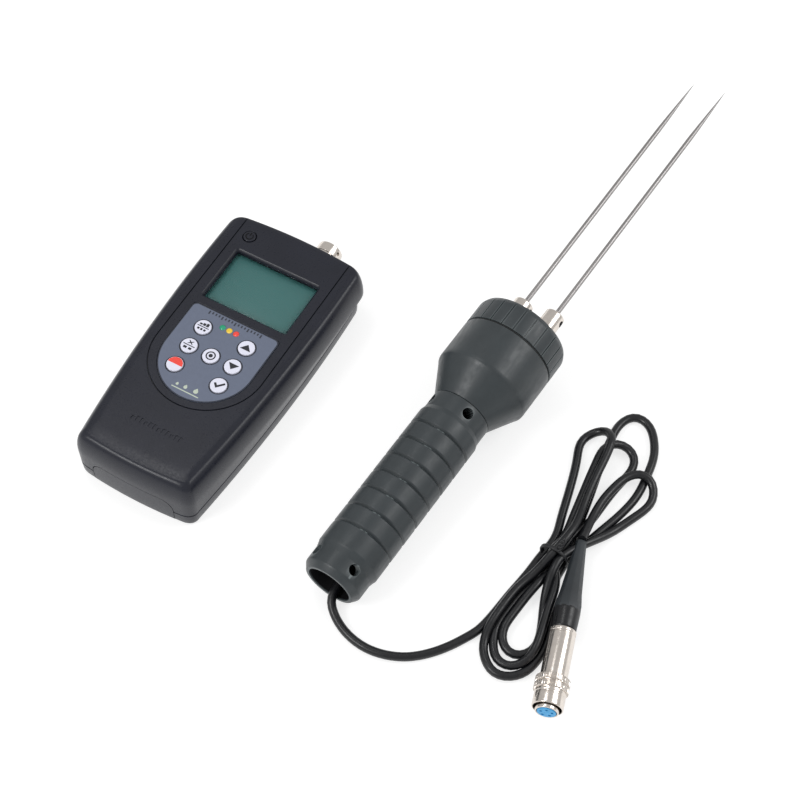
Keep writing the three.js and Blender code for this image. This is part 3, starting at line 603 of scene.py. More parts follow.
# ---- reader casing
HALF, SEAM, TOP, ROOF, WALL = 81, 9, 33, 30.6, 2.2
FAR_HALF, NEAR_HALF, BELLY, CORNER_FAR, CORNER_NEAR, BOW_FAR, BOW_NEAR = 37.9, 34.2, 5.4, 10, 6, 1.6, 1.5
LEAN_FAR, LEAN_NEAR = 3.7, 0.4
EDGE_HEIGHT, EDGE_SIDE, EDGE_FAR, EDGE_NEAR, BROW = 14, 5.5, 2.3, 5.5, 0.5
DOOR_HALF, DOOR_END, DOOR_THICK, TONGUE_TOP, TONGUE_CORNER = 23.5, -22.5, 1.7, 17, 7
BAY_HALF, BAY_Y, BAY_TOP, TUB = 23.2, (-74.6, -25.2), 14, 1.4
SOCKET_X, SOCKET_Z, SOCKET_TAIL = 10.7, 16.5, 5.6
SCREW_PLACES = [(-29.5, 63), (29.5, 63), (-28.8, -64), (28.8, -64)]
LCD_X, LCD_Y, LCD_BEVEL, LCD_DEPTH = 24, (24.7, 56.7), 1.5, 2
KEYS = [
    ("key_mode", -1, 0), ("key_clear", -1, 1), ("key_backlight", -1, 2), ("key_read", 0, 1),
    ("key_up", 1, 0), ("key_down", 1, 1), ("key_select", 1, 2),
]
KEY_RADIUS, KEY_HOLE, KEY_RING, FLARE = 4.3, 4.6, 5.1, 0.22
LABEL_TOP, LABEL_ARC_Y, LABEL_HALF, LABEL_CORNER = 18.4, -8.6, 25.4, 2.5
POWER_AT, POWER_RADIUS, POWER_HOLE = (-23.6, 67.3), 3.3, 3.75
LAMPS = [("led_green", -1), ("led_yellow", 0), ("led_red", 1)]
LAMP_X, LAMP_Y, LAMP_PITCH, LAMP_RADIUS = -0.4, 11.5, 4, 1.6


def key_at(column, row):
    return column * KEY_PITCH, KEY_ROW_Y - row * KEY_PITCH


def bow(start, middle_point, end, steps):
    """Points along a parabola from start, without its last point."""
    a, b, c = Vector(start), Vector(middle_point), Vector(end)
    return [a * (1 - t) ** 2 + b * 2 * t * (1 - t) + c * t * t for t in (k / steps for k in range(steps))]


def case_ring(z, side, far, near, far_wide, near_wide):
    """The casing's outline at height z, set in from its widest line by side, far and near."""
    fx, nx = FAR_HALF + far_wide - side, NEAR_HALF + near_wide - side
    fy, ny = HALF - BOW_FAR - far, -HALF + BOW_NEAR + near
    c, d = max(CORNER_FAR - side, 4), max(CORNER_NEAR - side, 4)
    belly = (fx + nx) / 2 + BELLY
    knots = [(nx, ny + d), (belly, 0), (fx, fy - c), (fx, fy - 1), (fx - c, fy), (0, fy + 2 * BOW_FAR),
             (c - fx, fy), (-fx, fy - 1), (-fx, fy - c), (-belly, 0), (-nx, ny + d), (-nx, ny + 1),
             (d - nx, ny), (0, ny - 2 * BOW_NEAR), (nx - d, ny), (nx, ny + 1), (nx, ny + d)]
    return [(p.x, p.y, z) for i in range(0, 16, 2) for p in bow(*knots[i:i + 3], 14 if i % 4 else 20)]


def case_solid(name, levels, look=None, steps=1):
    """A solid through levels (z, side, far, near, far_wide, near_wide), smoothed between them."""
    return loft(name, [case_ring(*row) for row in smoothed(levels, steps)], READER, look)


def groove_tool(half, arc_y, far, width, depth):
    """A U-shaped cutter: straight from beyond the far end, round the foot and back."""
    line = [(half, far - k * (far - arc_y) / 12) for k in range(12)]
    line += arc_points(0, arc_y, half, 0, -180, 63)
    line += [(-half, arc_y + (k + 1) * (far - arc_y) / 12) for k in range(12)]
    w = width / 2
    section = [(-w - 0.15, 1), (-w - 0.12, 0.02), (-w, -0.12), (-w + 0.08, -depth), (w - 0.08, -depth),
               (w, -0.12), (w + 0.12, 0.02), (w + 0.15, 1)]
    points, faces = [], []
    for i, (x, y) in enumerate(line):
        before, after = Vector(line[max(i - 1, 0)]), Vector(line[min(i + 1, len(line) - 1)])
        way = (after - before).normalized()
        points += [(x - way.y * across, y + way.x * across, TOP + up) for across, up in section]
    n = len(section)
    for base in range(0, len(points) - n, n):
        faces += [[base + i, base + (i + 1) % n, base + n + (i + 1) % n, base + n + i] for i in range(n)]
    faces += [list(range(n)), [len(points) - n + i for i in range(n)][::-1]]
    return shape("groove_tool", points, faces, READER, None)


def hole_tool(x, y, r):
    low, wide = ROOF - 3, r + FLARE
    return turned("hole_tool", [(0, low), (r, low), (r, TOP - FLARE), (wide, TOP + 0.01), (wide, TOP + 1),
                                (0, TOP + 1)], moved(READER, x, y), None, 64, about="Z")


def display_tool():
    rows = [(0, ROOF - 2), (0, TOP - LCD_DEPTH), (LCD_BEVEL / 2, TOP - 0.62), (LCD_BEVEL, TOP),
            (LCD_BEVEL, TOP + 1)]
    rings = [[(x, y, z) for x, y in rounded_outline(LCD_X + g, LCD_Y[0] - g, LCD_Y[1] + g, 0.3 + g)]
             for g, z in rows]
    return loft("display_tool", rings, READER)


def label_outline(grow):
    h, t, r = LABEL_HALF + grow, LABEL_TOP + grow, LABEL_CORNER
    return (arc_points(h - r, t - r, r, 0, 90, 10) + arc_points(r - h, t - r, r, 90, 180, 10)
            + arc_points(0, LABEL_ARC_Y, h, 180, 360, 71))


def label_tool():
    rings = [[(x, y, z) for x, y in label_outline(g)] for g, z in
             ((0.3, TOP - 0.8), (0.3, TOP - 0.15), (0.45, TOP), (0.45, TOP + 1))]
    return loft("label_tool", rings, READER)


def engraving_tool():
    """A row of plain bars, sunk into the face below the keypad."""
    return joined([block("bar", (-14.3 + 2.5 * i, -12.8 + 2.5 * i), (-56.5, -53.5 if i % 3 else -54.4),
                         (TOP - 0.3, TOP + 1), READER, None, 0) for i in range(12)])


def tongue_tool(grow, y0, y1):
    outline = rounded_outline(DOOR_HALF + grow, -2 * TONGUE_CORNER, TONGUE_TOP + grow, TONGUE_CORNER, 12)
    rings = [[(x, y, z) for x, z in outline] for y in (y0, y1)]
    return loft("tongue_tool", rings, READER)


def socket_tool():
    return rod(moved(READER, SOCKET_X, 0, SOCKET_Z), SOCKET_TAIL + 0.3, 70, 92, 64)


def even_levels(*rows):
    """Levels that are set in by the same amount all round."""
    return [(z, inset, inset, inset, 0, 0) for z, inset in rows]


def upper_shell():
    low, turn_z = SEAM + 0.15, TOP - EDGE_HEIGHT
    levels = even_levels((low, 0.35))
    for t in (0.04, 0.35, 0.7):
        levels.append((low + t * (turn_z - low), 0, 0, 0, t * LEAN_FAR, t * LEAN_NEAR))
    for a in np.linspace(0, math.pi / 2, 18):
        inset = 1 - math.cos(a)
        levels.append((turn_z + (EDGE_HEIGHT - BROW) * math.sin(a), EDGE_SIDE * inset, EDGE_FAR * inset,
                       EDGE_NEAR * inset, LEAN_FAR, LEAN_NEAR))
    brow = ((0.62, 0.5, 1.2), (0.33, 1, 2.6), (0.14, 1.5, 4.2), (0.03, 2, 5.8), (0, 2.5, 7.4))
    levels += [(TOP - BROW * down, EDGE_SIDE + side, EDGE_FAR + side, EDGE_NEAR + near, LEAN_FAR, LEAN_NEAR)
               for down, side, near in brow]
    outer = case_solid("upper_casing", levels, "case_plastic")
    w = WALL
    inner = case_solid("inner_tool", [
        (SEAM - 1, w, w, w, 0, 0), (24, w, w, w + 0.5, LEAN_FAR / 2, 0),
        (ROOF, EDGE_SIDE + w, EDGE_FAR + w, EDGE_NEAR + w, LEAN_FAR, 0),
    ])
    tools = [inner, display_tool(), label_tool(), groove_tool(31, -7.4, 90, 0.55, 0.8), socket_tool(),
             tongue_tool(0.3, -90, -HALF + 2.3), hole_tool(*POWER_AT, POWER_HOLE), engraving_tool()]
    tools += [hole_tool(*key_at(column, row), KEY_HOLE) for _, column, row in KEYS]
    tools += [hole_tool(LAMP_X + i * LAMP_PITCH, LAMP_Y, LAMP_RADIUS + 0.15) for _, i in LAMPS]
    keep(cut(outer, *tools), "case_plastic", "upper_shell")


def lower_shell():
    outer = case_solid("lower_casing", even_levels(
        (0, 2.6), (0, 2), (0.25, 1.5), (0.8, 1), (1.6, 0.55), (2.6, 0.3), (6, 0.1), (SEAM - 0.5, 0),
        (SEAM - 0.15, 0.35)), "case_plastic")
    cut(outer, case_solid("inner_tool", even_levels((2, WALL + 1), (SEAM + 1, WALL))))
    half, low, high, top = BAY_HALF + TUB, BAY_Y[0] - TUB, BAY_Y[1] + TUB, BAY_TOP + TUB
    tub = block("tub", (-half, half), (low, high), (1, top), READER, "case_plastic", 0)
    cut(outer, tub, operation="UNION")
    tools = [
        block("bay", (-BAY_HALF, BAY_HALF), BAY_Y, (-1, BAY_TOP), READER, None, 0),
        block("door_seat", (-DOOR_HALF - 0.3, DOOR_HALF + 0.3), (-90, DOOR_END + 0.3), (-1, DOOR_THICK + 0.3),
              READER, None, 0),
        tongue_tool(0.3, -90, -HALF + 2.3), socket_tool(),
    ]
    tools += [turned("screw_tool", [(0, -1), (3.2, -1), (3.2, 0), (2.9, 0.3), (2.9, 3.4), (0, 3.4)],
                     moved(READER, x, y), None, 48, about="Z") for x, y in SCREW_PLACES]
    keep(cut(outer, *tools), "case_plastic", "lower_shell")


def battery_door():
    """A plate under the bay that wraps up the near end, with grip bars at its inner end."""
    shell = case_solid("battery_cover", [
        (0.15, 1.8, 2, 1.8, 0, 0), (0.4, 1.35, 1.4, 1.35, 0, 0),
        *even_levels((0.8, 1), (1.6, 0.55), (2.6, 0.3), (SEAM, 0), (18, 0)),
    ], "case_plastic", steps=2)
    plate = block("plate", (-DOOR_HALF, DOOR_HALF), (-HALF + 0.6, DOOR_END), (0.15, DOOR_THICK), READER,
                  None, 0.3)
    wall = tongue_tool(0, -HALF - 2, -HALF + 2)
    cut(plate, wall, operation="UNION")
    cut(shell, plate, operation="INTERSECT")
    bars = [block("bar", (-8, 8), (y, y + 1), (-1, 0.65), READER, None, 0.2) for y in (-34, -32, -30, -28)]
    keep(cut(shell, *bars), "case_plastic", "battery_door", body="battery_door")


upper_shell()
lower_shell()
battery_door()


# ---- reader face
def display():
    x, (y0, y1) = LCD_X, LCD_Y
    pane = block("display_pane", (-x - 2, x + 2), (y0 - 2, y1 + 2), (ROOF - 1.6, ROOF - 0.3), READER,
                 "window_plastic")
    keep(pane, "window_plastic", "display_window")
    glass = block("display_glass", (-x - 1, x + 1), (y0 - 1, y1 + 1), (ROOF - 4.1, ROOF - 1.9), READER,
                  "display", 0.25)
    keep(glass, "display", "display_module")


def label():
    holes = [circle(*key_at(column, row), KEY_HOLE) for _, column, row in KEYS]
    lamps = [circle(LAMP_X + i * LAMP_PITCH, LAMP_Y, LAMP_RADIUS + 0.06, 32) for _, i in LAMPS]
    z0, z1 = TOP - 0.55, TOP + 0.05
    film = flat("keypad_film", [label_outline(0), *holes, *lamps], z0, z1, READER, "label_film")
    # The dark band round the label's edge is a painted shadow of its recess; the other dark marks are print.
    marks_and_shade = [([label_outline(-0.02), label_outline(-0.5)], 0.02, "dark_print_and_shade")]
    marks_and_shade += [([circle(*key_at(c, r), KEY_RING), circle(*key_at(c, r), KEY_HOLE)], 0.03, "dark_print_and_shade")
              for _, c, r in KEYS]
    marks_and_shade += [([bar], 0.02, "dark_print_and_shade") for bar in scale_bars()]
    marks_and_shade += [(outlines, 0.02, "ink_pale") for outlines in drop_mark()]
    label_marks = [flat("label_mark", outlines, z1, z1 + up, READER, mark_look) for outlines, up, mark_look in marks_and_shade]
    keep(joined([film, *label_marks]), "label_film", "keypad_label")


def rectangle(x0, x1, y0, y1):
    return [(x0, y0), (x1, y0), (x1, y1), (x0, y1)]


def scale_bars():
    """A graduated scale across the label's top: short bars, every fourth one longer."""
    return [rectangle(-15.6 + 1.9 * i, -14.8 + 1.9 * i, 15.9 if i % 4 else 15.2, 17.3) for i in range(17)]


def drop(x, y, size):
    """A drop standing on y."""
    return [(x, y + 2.6 * size)] + arc_points(x, y + size, size, 28, -208, 23)


def drop_mark():
    """Three drops that grow, over a line."""
    drops = [[drop(x, -29, size)] for x, size in ((-5.6, 0.75), (-0.9, 1), (5, 1.25))]
    return [*drops, [rectangle(-7.6, 8, -30.6, -30)]]


def key_symbols():
    """What is printed on each key, in the key's own place."""
    up = [(-3, -1.5), (3, -1.5), (0, 2)]
    bars = [rectangle(-2.6 + 1.8 * i, -1.1 + 1.8 * i, 0.8, 1.8 + 0.5 * i) for i in range(3)]
    line = rectangle(-3.3, 3.3, -0.25, 0.25)
    squares = [rectangle(-2.4 + 1.8 * i, -1.2 + 1.8 * i, -2.2, -1) for i in range(3)]
    cross = [(-1.6, 0.8), (-1, 0.8), (0, 1.45), (1, 0.8), (1.6, 0.8), (0.5, 1.85), (1.6, 2.9), (1, 2.9),
             (0, 2.25), (-1, 2.9), (-1.6, 2.9), (-0.5, 1.85)]
    return {
        "key_up": [[up]], "key_down": [[[(x, -y) for x, y in up]]],
        "key_mode": [[outline] for outline in (*bars, line, *squares)],
        "key_clear": [[cross], [line], [rectangle(-2.3, -0.4, -2.3, -1)], [rectangle(0.6, 2.3, -2.3, -1)]],
        "key_read": [[circle(0, 0, 2.6), circle(0, 0, 1.9)], [circle(0, 0, 1.1)]],
        "key_select": [[[(-2.8, 0.1), (-1.9, 0.9), (-0.6, -0.4), (2.2, 2.5), (3, 1.7), (-0.6, -2.1)]]],
        "key_backlight": [[arc_points(0, 0, KEY_RADIUS - 0.25, 0, 180, 31)]],
    }


def stem(radius):
    """A key's outline from its foot, past the collar that keeps it in, to the wall of its cap."""
    return [(0, 28.6), (1.6, 28.6), (1.6, 29.3), (radius + 1, 29.3), (radius + 1, 30.1), (radius, 30.1)]


def keys():
    symbols = key_symbols()
    top = TOP + 0.7
    for name, column, row in KEYS:
        place = moved(READER, *key_at(column, row))
        cap = turned(name + "_cap", [*stem(KEY_RADIUS), (KEY_RADIUS, top, 0.35), (KEY_RADIUS - 0.5, top),
                                     (0, top + 0.02)], place, "key_plastic", 64, about="Z", angle=40)
        mark_look = "ink_red" if name == "key_backlight" else "ink_black"
        marks = [flat("mark", mark, top - 0.05, top + 0.04, place, mark_look) for mark in symbols[name]]
        keep(joined([cap, *marks]), "key_plastic", name, body=name)


def power_button():
    place = moved(READER, *POWER_AT)
    top = TOP + 0.3
    cap = turned("power_cap", [*stem(POWER_RADIUS), (POWER_RADIUS, top, 0.4), (0, top + 0.05)], place,
                 "case_plastic", 64, about="Z", angle=40)
    arc = arc_points(0, 0, 2.2, 125, 415, 31) + arc_points(0, 0, 1.6, 415, 125, 31)
    marks = [flat("mark", [outline], top - 0.05, top + 0.09, place, "black_plastic")
             for outline in (arc, rectangle(-0.32, 0.32, 0.4, 2.5))]
    keep(joined([cap, *marks]), "case_plastic", "power_button", body="power_button")


def lamps():
    for name, i in LAMPS:
        slot = "lamp_" + name[4:]
        lens = turned(name + "_lens", [(0, 29), (LAMP_RADIUS, 29), (LAMP_RADIUS, TOP + 0.05, 0.2),
                                       (LAMP_RADIUS * 0.5, TOP + 0.18), (0, TOP + 0.2)],
                      moved(READER, LAMP_X + i * LAMP_PITCH, LAMP_Y), slot, 48, about="Z")
        keep(lens, slot, name)


def reader_inside():
    for i in range(4):
        flip = -1 if i % 2 else 1
        place = rolled(moved(READER, (i - 1.5) * 11.3, -49.9 - flip * 22.1, 7.6), 90 - 90 * flip, "Z")
        can = turned(f"cell_{i + 1}", [(0, 0), (5.1, 0, 0.4), (5.1, 42.8, 0.4), (4.5, 43.2), (0, 43.2)],
                     place, "cell_sleeve", 64)
        band = turned("cell", [(5.13, 30), (5.15, 30), (5.15, 41), (5.13, 41)], place, "black_plastic", 64,
                      closed=True)
        nub = turned("cell", [(0, 43), (1.9, 43), (1.9, 44.2, 0.3), (0, 44.2)], place, "nickel", 48)
        keep(joined([can, band, nub]), "cell_sleeve", f"battery_{i + 1}")
    for i, (x, y) in enumerate(SCREW_PLACES):
        place = moved(READER, x, y)
        screw = turned(f"casing_screw_{i + 1}", [
            (0, 0.9), (1.7, 0.9), (2.6, 1.9, 0.3), (2.6, 3, 0.2), (1.3, 3), (1.3, 19.4), (0, 20),
        ], place, "steel", 48, about="Z")
        cut(screw, block("slot", (-1.6, 1.6), (-0.35, 0.35), (0, 1.9), place, None, 0),
            block("slot", (-0.35, 0.35), (-1.6, 1.6), (0, 1.9), place, None, 0))
        keep(screw, "steel", f"case_screw_{i + 1}")


def five_places(place, radius, first=0):
    """Five places round a connector's axis, for its contacts."""
    angles = [math.radians(first + 72 * i) for i in range(5)]
    return [moved(place, radius * math.sin(a), 0, radius * math.cos(a)) for a in angles]


def reader_socket():
    place = moved(READER, SOCKET_X, 0, SOCKET_Z)
    body = turned("socket_shell", [
        (5.6, 73), (5.6, 81.4), (7, 81.4, 0.3), (7, 84.2, 0.15), (6.7, 84.5), (6.7, 85.3), (7, 85.6, 0.15),
        (7, 91.2, 0.6), (5.5, 91.2, 0.3), (5.5, 74.5), (4, 74.5), (4, 73),
    ], place, "nickel", 96, closed=True)
    keyway = block("keyway", (-0.4, 0.4), (77.2, 97.2), (6.3, 7.6), rolled(place, 25), None, 0)
    dimple = rod(moved(rolled(place, 60), 0, 88.6), 1, 6, 8, 32, about="Z")
    keep(cut(body, keyway, dimple), "nickel", "socket_body")
    insulator = turned("socket_core", [(0, 78), (5.2, 78), (5.2, 83, 0.3), (0, 83)], place,
                       "black_plastic", 64)
    places = five_places(place, 3.2, 36)
    holes = [rod(there, 0.8, 70, 90) for there in places]
    keep(cut(insulator, *holes), "black_plastic", "socket_insulator")
    posts = [turned("socket_posts", [(0, 77), (0.5, 77), (0.5, 85.6), (0.2, 86), (0, 86)], there,
                    "contact_metal", 24) for there in places]
    base = rod(place, 4.4, 76, 77.3, 48, "contact_metal")
    keep(joined([*posts, base]), "contact_metal", "socket_contacts")


display()
label()
keys()
power_button()
lamps()
reader_inside()
reader_socket()


# ---- probe
GRIP, COLLAR, NECK, BORE, WIRE_BORE, BORE_DEPTH = 16.85, 15.7, 16, 11.5, 8, 42
GROOVE_AT, GROOVE_PITCH, GROOVES, GRIP_START, GRIP_END, NECK_END = 24.9, 10.72, 7, 13, 98.4, 109.8
HEAD, HEAD_START, HEAD_END = 25.5, 127.6, 150.2
CAP_BACK, CAP_FRONT, CAP_BORE, FLUTES = 151.3, 166.3, 20.6, 24
CROSS_RADIUS, CROSS_PLACES = 2.9, ((6.8, 52), (105, 61))
PIN_GAP, PIN_RADIUS, PIN_START, PIN_TAPER, PIN_TIP, SCREW_AT = 19.2, 1.3, 168.6, 314, 352.3, 178.6


def cross_holes():
    """Two round holes at right angles, out through the upper wall of the tail and of the neck."""
    return [rod(rolled(moved(PROBE, 0, at), 90 - angle - turn), CROSS_RADIUS, 0, 40, 48, about="Z")
            for at, angle in CROSS_PLACES for turn in (0, 90)]


def grip_handle():
    outer = [(BORE + 0.2, -2, 0.2), (BORE + 1.8, -2, 0.3), (COLLAR - 0.2, 1, 0.5), (COLLAR, 1.6, 0.3),
             (COLLAR, 9.6, 0.4), (GRIP - 0.4, 12.4, 0.5), (GRIP, GRIP_START + 0.4, 0.3)]
    for i in range(GROOVES):
        at = GROOVE_AT + i * GROOVE_PITCH
        outer += [(GRIP, at - 1.3), (GRIP, at - 1, 0.16), (GRIP - 1.1, at, 0.12), (GRIP, at + 1, 0.16),
                  (GRIP, at + 1.3)]
    outer += [(GRIP, GRIP_END - 1), (GRIP, GRIP_END - 0.6, 0.15), (NECK, GRIP_END + 2, 0.2),
              (NECK, GRIP_END + 2.5), (NECK, NECK_END - 0.6), (NECK, NECK_END, 0.2)]
    inner = [(WIRE_BORE, NECK_END), (WIRE_BORE, BORE_DEPTH), (BORE, BORE_DEPTH), (BORE, -1.2, 0.3)]
    handle = turned("probe_grip", outer + inner, PROBE, "probe_plastic", 128, closed=True)
    cut(handle, *cross_holes())
    # The inside of the bore takes black plastic: a painted shade for the dark hollow.
    handle.data.materials.append(LOOKS["black_plastic"].material)
    for face in handle.data.polygons:
        if math.hypot(face.center.x, face.center.z) < (BORE + 0.05) * MM:
            face.material_index = 1
    keep(handle, "probe_plastic", "grip_handle")


def head():
    back = NECK_END + 0.3
    profile = [(WIRE_BORE, back), (NECK, back, 0.2), (HEAD - 1.2, HEAD_START - 2, 0.6),
               (HEAD - 0.2, HEAD_START - 0.4, 0.4), (HEAD, HEAD_START + 1, 0.4), (HEAD, HEAD_END, 0.4),
               (19.5, HEAD_END), (19.5, 128), (WIRE_BORE, 119)]
    keep(turned("probe_head", profile, PROBE, "probe_plastic", 160, closed=True), "probe_plastic",
         "head_housing")
    seal = turned("probe_seal", [(19.8, 150.5), (25, 150.5, 0.1), (25, 151, 0.1), (19.8, 151)], PROBE,
                  "rubber", 128, closed=True)
    keep(seal, "rubber", "head_seal")


def cap_ring():
    """The ring with narrow axial grooves all round."""
    ring = turned("probe_cap", [
        (CAP_BORE, CAP_BACK), (HEAD, CAP_BACK, 0.4), (HEAD, CAP_FRONT - 2.6, 1.0), (24.2, CAP_FRONT, 0.5),
        (CAP_BORE, CAP_FRONT, 0.3),
    ], PROBE, "probe_plastic", 192, closed=True)
    rings = [[(-0.45, y, HEAD + 0.4), (0.45, y, HEAD + 0.4), (0.3, y, HEAD - 0.45), (-0.3, y, HEAD - 0.45)]
             for y in (CAP_BACK - 1, CAP_FRONT + 1)]
    tools = [loft("flute_tool", rings, rolled(PROBE, 360 * (i + 0.5) / FLUTES)) for i in range(FLUTES)]
    keep(cut(ring, joined(tools)), "probe_plastic", "front_cap_ring", body="front_cap_ring")


def front():
    edge = CAP_BORE - 0.3
    plate = turned("probe_plate", [(0, 156), (edge, 156), (edge, 165.4, 0.4), (0, 165.4)], FRONT,
                   "probe_plastic", 128)
    holes = []
    for side, x in (("left", -PIN_GAP / 2), ("right", PIN_GAP / 2)):
        stand = moved(FRONT, x)
        turn = rolled(stand, 10)
        side_place = rolled(moved(turn, 0, SCREW_AT), 90)
        holes.append(rod(stand, 2.7, 140, 180, 32))
        holder = turned(f"holder_{side}", [
            (0, 148), (2.4, 148), (2.4, 165.8), (5.4, 165.8, 0.2), (5.4, 181.6, 0.7), (4.4, 182, 0.3),
            (1.55, 182, 0.2), (1.55, PIN_START - 0.4), (0, PIN_START - 0.4),
        ], turn, "nickel", 96)
        cut(holder, rod(side_place, 1.75, 1.9, 9.9, 32, about="Z"))
        keep(holder, "nickel", f"pin_holder_{side}")
        screw = turned(f"holder_screw_{side}", [(0, 1.9), (1.5, 1.9), (1.5, 4.9, 0.3), (0, 4.9)], side_place,
                       "black_steel", 32, about="Z")
        cut(screw, rod(side_place, 0.75, 4, 6, 6, about="Z"))
        keep(screw, "black_steel", f"grub_screw_{side}")
        length = PIN_TIP - PIN_TAPER
        taper = [(PIN_RADIUS * (1 - t ** 1.35) + 0.02 * t, PIN_TAPER + length * t)
                 for t in np.linspace(0, 0.985, 14)]
        pin = turned(f"needle_{side}", [(0, PIN_START), (PIN_RADIUS, PIN_START, 0.2), *taper, (0, PIN_TIP)],
                     stand, "pin_steel", 48)
        keep(pin, "pin_steel", f"pin_{side}", body=f"pin_{side}")
    keep(cut(plate, *holes), "probe_plastic", "electrode_plate")


def gland():
    inner, outer = CORD_RADIUS + 0.15, BORE - 0.3
    ring = turned("tail_gland", [
        (inner, 41.6), (inner, 24, 0.2), (CORD_RADIUS + 1, 24, 0.4), (CORD_RADIUS + 2, 33, 1), (8, 34, 0.5),
        (outer, 34, 0.4), (outer, 41.6),
    ], PROBE, "rubber", 96, closed=True)
    keep(ring, "rubber", "cord_gland")


grip_handle()
head()
cap_ring()
front()
gland()


# ---- tie
def tie():
    """A twisted wire tie: two turns round the lead and two ends twisted together."""
    half_x, half_z, middle_x, middle_z = 7.2, 6.1, 146.4, 6.9
    rings = []
    for lift in (-0.8, 0.8):
        for k in range(48):
            a = 2 * math.pi * k / 48
            rings.append((middle_x + half_x * math.cos(a), TIE_Y + lift * (1 if k > 40 else k / 40),
                          middle_z + half_z * math.sin(a)))
    ends = []
    for phase in (0, math.pi):
        turns = [(k, 0.9 * k + phase) for k in range(14)]
        ends.append([(middle_x + 2 + 0.7 * math.cos(a), TIE_Y + 0.35 * k + 0.7 * math.sin(a),
                      middle_z + half_z - 0.4 + 0.32 * k) for k, a in turns])
    parts = []
    for points in [rings, *ends]:
        wire = line_object("lead_tie", points, 0.7, "tie_plastic", 4)
        mesh = mesh_of(wire)
        bpy.data.objects.remove(wire)
        shade(mesh, 60)
        parts.append(added("lead_tie", mesh))
    return keep(joined(parts), "tie_plastic", "cord_tie")


# ---- plug
BOOT, START, BARREL, RING, SLEEVE, SLEEVE_BORE = 49, 49.3, 6.5, 8.3, 7.5, 6.9
RING_AT, SLEEVE_END, NOSE, COLLAR_AT, TEETH, TOOTH_DEPTH = 25.3, 40.4, 42.2, 38.6, 40, 0.32


def boot():
    """A tapered boot with ten long flats, and a smooth collar next to the barrel."""
    rows = [(CORD_RADIUS + 0.1, 0.0), (2.7, 0.15), (5.6, 29.4), (6.55, 35.6), (6.6, COLLAR_AT)]
    rings = [[(r * math.sin(2 * math.pi * k / 10), y, r * math.cos(2 * math.pi * k / 10)) for k in range(10)]
             for r, y in rows]
    obj = loft("plug_boot_cover", rings, PLUG, "boot_rubber", 20)
    bevel = obj.modifiers.new("edge", "BEVEL")
    bevel.width, bevel.segments = 0.3 * MM, 2
    bevel.limit_method, bevel.angle_limit = "ANGLE", math.radians(12)
    applied(obj, 12)
    collar = turned("collar", [(0, COLLAR_AT - 0.6), (6.35, COLLAR_AT - 0.6), (6.45, COLLAR_AT + 0.4, 0.3),
                               (6.1, BOOT - 0.6, 0.3), (5.8, BOOT, 0.2), (0, BOOT)], PLUG, "cord_rubber", 64)
    return keep(joined([obj, collar]), "boot_rubber", "plug_boot")


def toothed(y0, y1):
    """A grip ring with straight teeth."""
    rows = [(0.35, y0), (0, y0 + 0.35), (0, y1 - 0.35), (0.35, y1)]
    rings = []
    for less, y in rows:
        ring = []
        for k in range(TEETH * 6):
            a = 2 * math.pi * k / (TEETH * 6)
            wave = min(1, max(0, 0.5 + 0.9 * math.cos(TEETH * a)))
            r = RING - less - TOOTH_DEPTH * (1 - wave)
            ring.append((r * math.sin(a), y, r * math.cos(a)))
        rings.append(ring)
    return loft("ring", rings, PLUG, "nickel", 28)


def barrel():
    thin, end = BARREL - 0.3, START + RING_AT + 5
    body = turned("plug_tube", [
        (0, START), (BARREL, START, 0.35), (BARREL, START + 1.6, 0.15), (thin, START + 1.9),
        (thin, START + 2.5), (BARREL, START + 2.8, 0.15), (BARREL, end), (0, end),
    ], PLUG, "nickel", 96)
    return keep(body, "nickel", "plug_barrel")


def sleeve():
    at, end, thin = START + RING_AT, START + SLEEVE_END, SLEEVE - 0.2
    tube = turned("lock_sleeve", [
        (SLEEVE_BORE, at), (SLEEVE, at), (SLEEVE, at + 8.2, 0.1), (thin, at + 8.5), (thin, at + 9.1),
        (SLEEVE, at + 9.4, 0.1), (SLEEVE, end, 0.5), (SLEEVE_BORE, end, 0.2),
    ], PLUG, "nickel", 128, closed=True)
    rings = [toothed(at, at + 3.1), toothed(at + 3.6, at + 6.9)]
    for ring in rings:
        cut(ring, rod(PLUG, SLEEVE - 0.05, at - 5, end + 5, 96))
    return keep(joined([tube, *rings]), "nickel", "coupling_sleeve", body="coupling_sleeve")


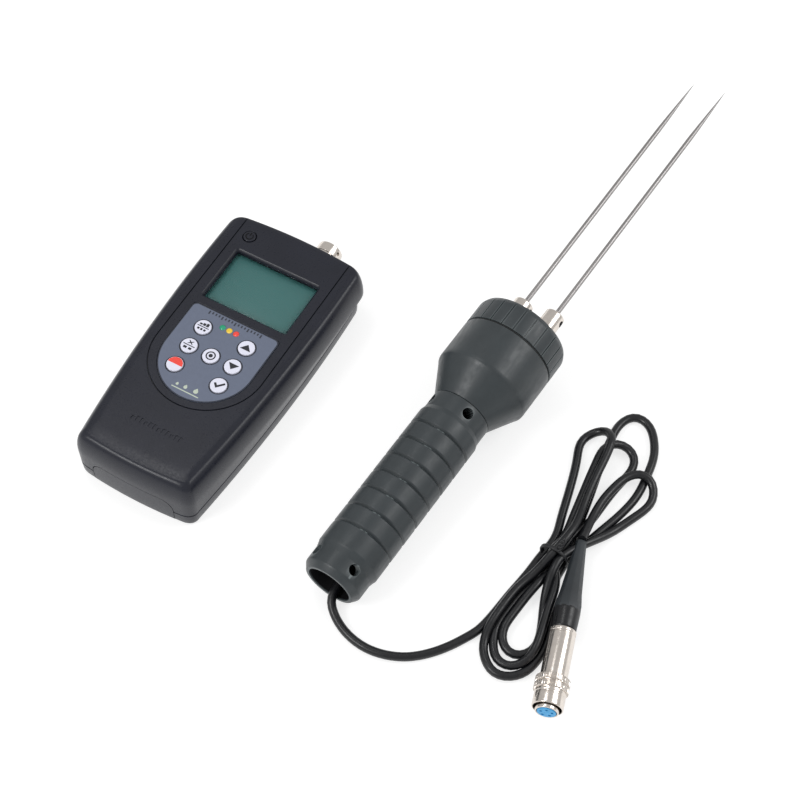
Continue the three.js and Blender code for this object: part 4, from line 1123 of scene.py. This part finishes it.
def nose():
    back, tip = START + RING_AT + 5.3, START + NOSE
    ring = turned("plug_shield", [(4.9, back), (5.7, back), (5.7, tip, 0.3), (4.9, tip, 0.2)], PLUG, "nickel",
                  96, closed=True)
    keep(ring, "nickel", "plug_inner_ring")
    core = turned("plug_core", [(0, back), (4.6, back), (4.6, tip + 0.4, 0.4), (0, tip + 0.4)], PLUG,
                  "blue_insulator", 64)
    holes = [rod(place, 0.7, tip - 3, tip + 3) for place in five_places(PLUG, 2.8)]
    keep(cut(core, *holes), "blue_insulator", "plug_insulator")
    return ring, core


tie()
boot()
barrel()
sleeve()
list(nose())


# ---- CAD nodes that stay
CAD_LOOKS = {
    "reader_circuit_board": "circuit_board", "probe_circuit_board": "circuit_board",
    "battery_contact_near": "contact_metal", "battery_contact_far": "contact_metal",
    "socket_nut": "nickel", "stud_nut_left": "nickel", "stud_nut_right": "nickel",
}
for node, slot in CAD_LOOKS.items():
    materials = frame["nodes"][node].data.materials
    materials.clear()
    materials.append(LOOKS[slot].material)


# ---- floor and light
def floor():
    data = bpy.data.meshes.new("floor")
    data.from_pydata([(-6, -6, 0), (6, -6, 0), (6, 6, 0), (-6, 6, 0)], [], [(0, 1, 2, 3)])
    look = Look("floor_paint", (0.42, 0.42, 0.42), 0.7).mottle(0.01, 3)
    look.set(Emission_Color=(1, 1, 1, 1), Emission_Strength=0.7)
    data.materials.append(look.material)
    added("floor", data)


def lamp(name, size, power, place, target):
    data = bpy.data.lights.new(name, "AREA")
    data.shape, data.size, data.energy = "SQUARE", size, power
    aimed(added(name, data), place, target)


def studio():
    world = bpy.data.worlds.new("studio")
    world.use_nodes = True
    background = world.node_tree.nodes["Background"].inputs
    background["Color"].default_value, background["Strength"].default_value = (1, 1, 1, 1), 0.6
    bpy.context.scene.world = world
    lamp("front_box", 0.5, 7.5, (-0.48, -1.09, 1.07), (0, 0, 0))
    lamp("back_box", 0.8, 8, (0.97, 0.77, 1.19), (0, 0, 0))
    lamp("near_box", 0.3, 1.2, (-0.45, 0.05, 1.15), (-0.05, -0.17, 0.03))
    bpy.context.scene.view_settings.view_transform = "Standard"


floor()
studio()
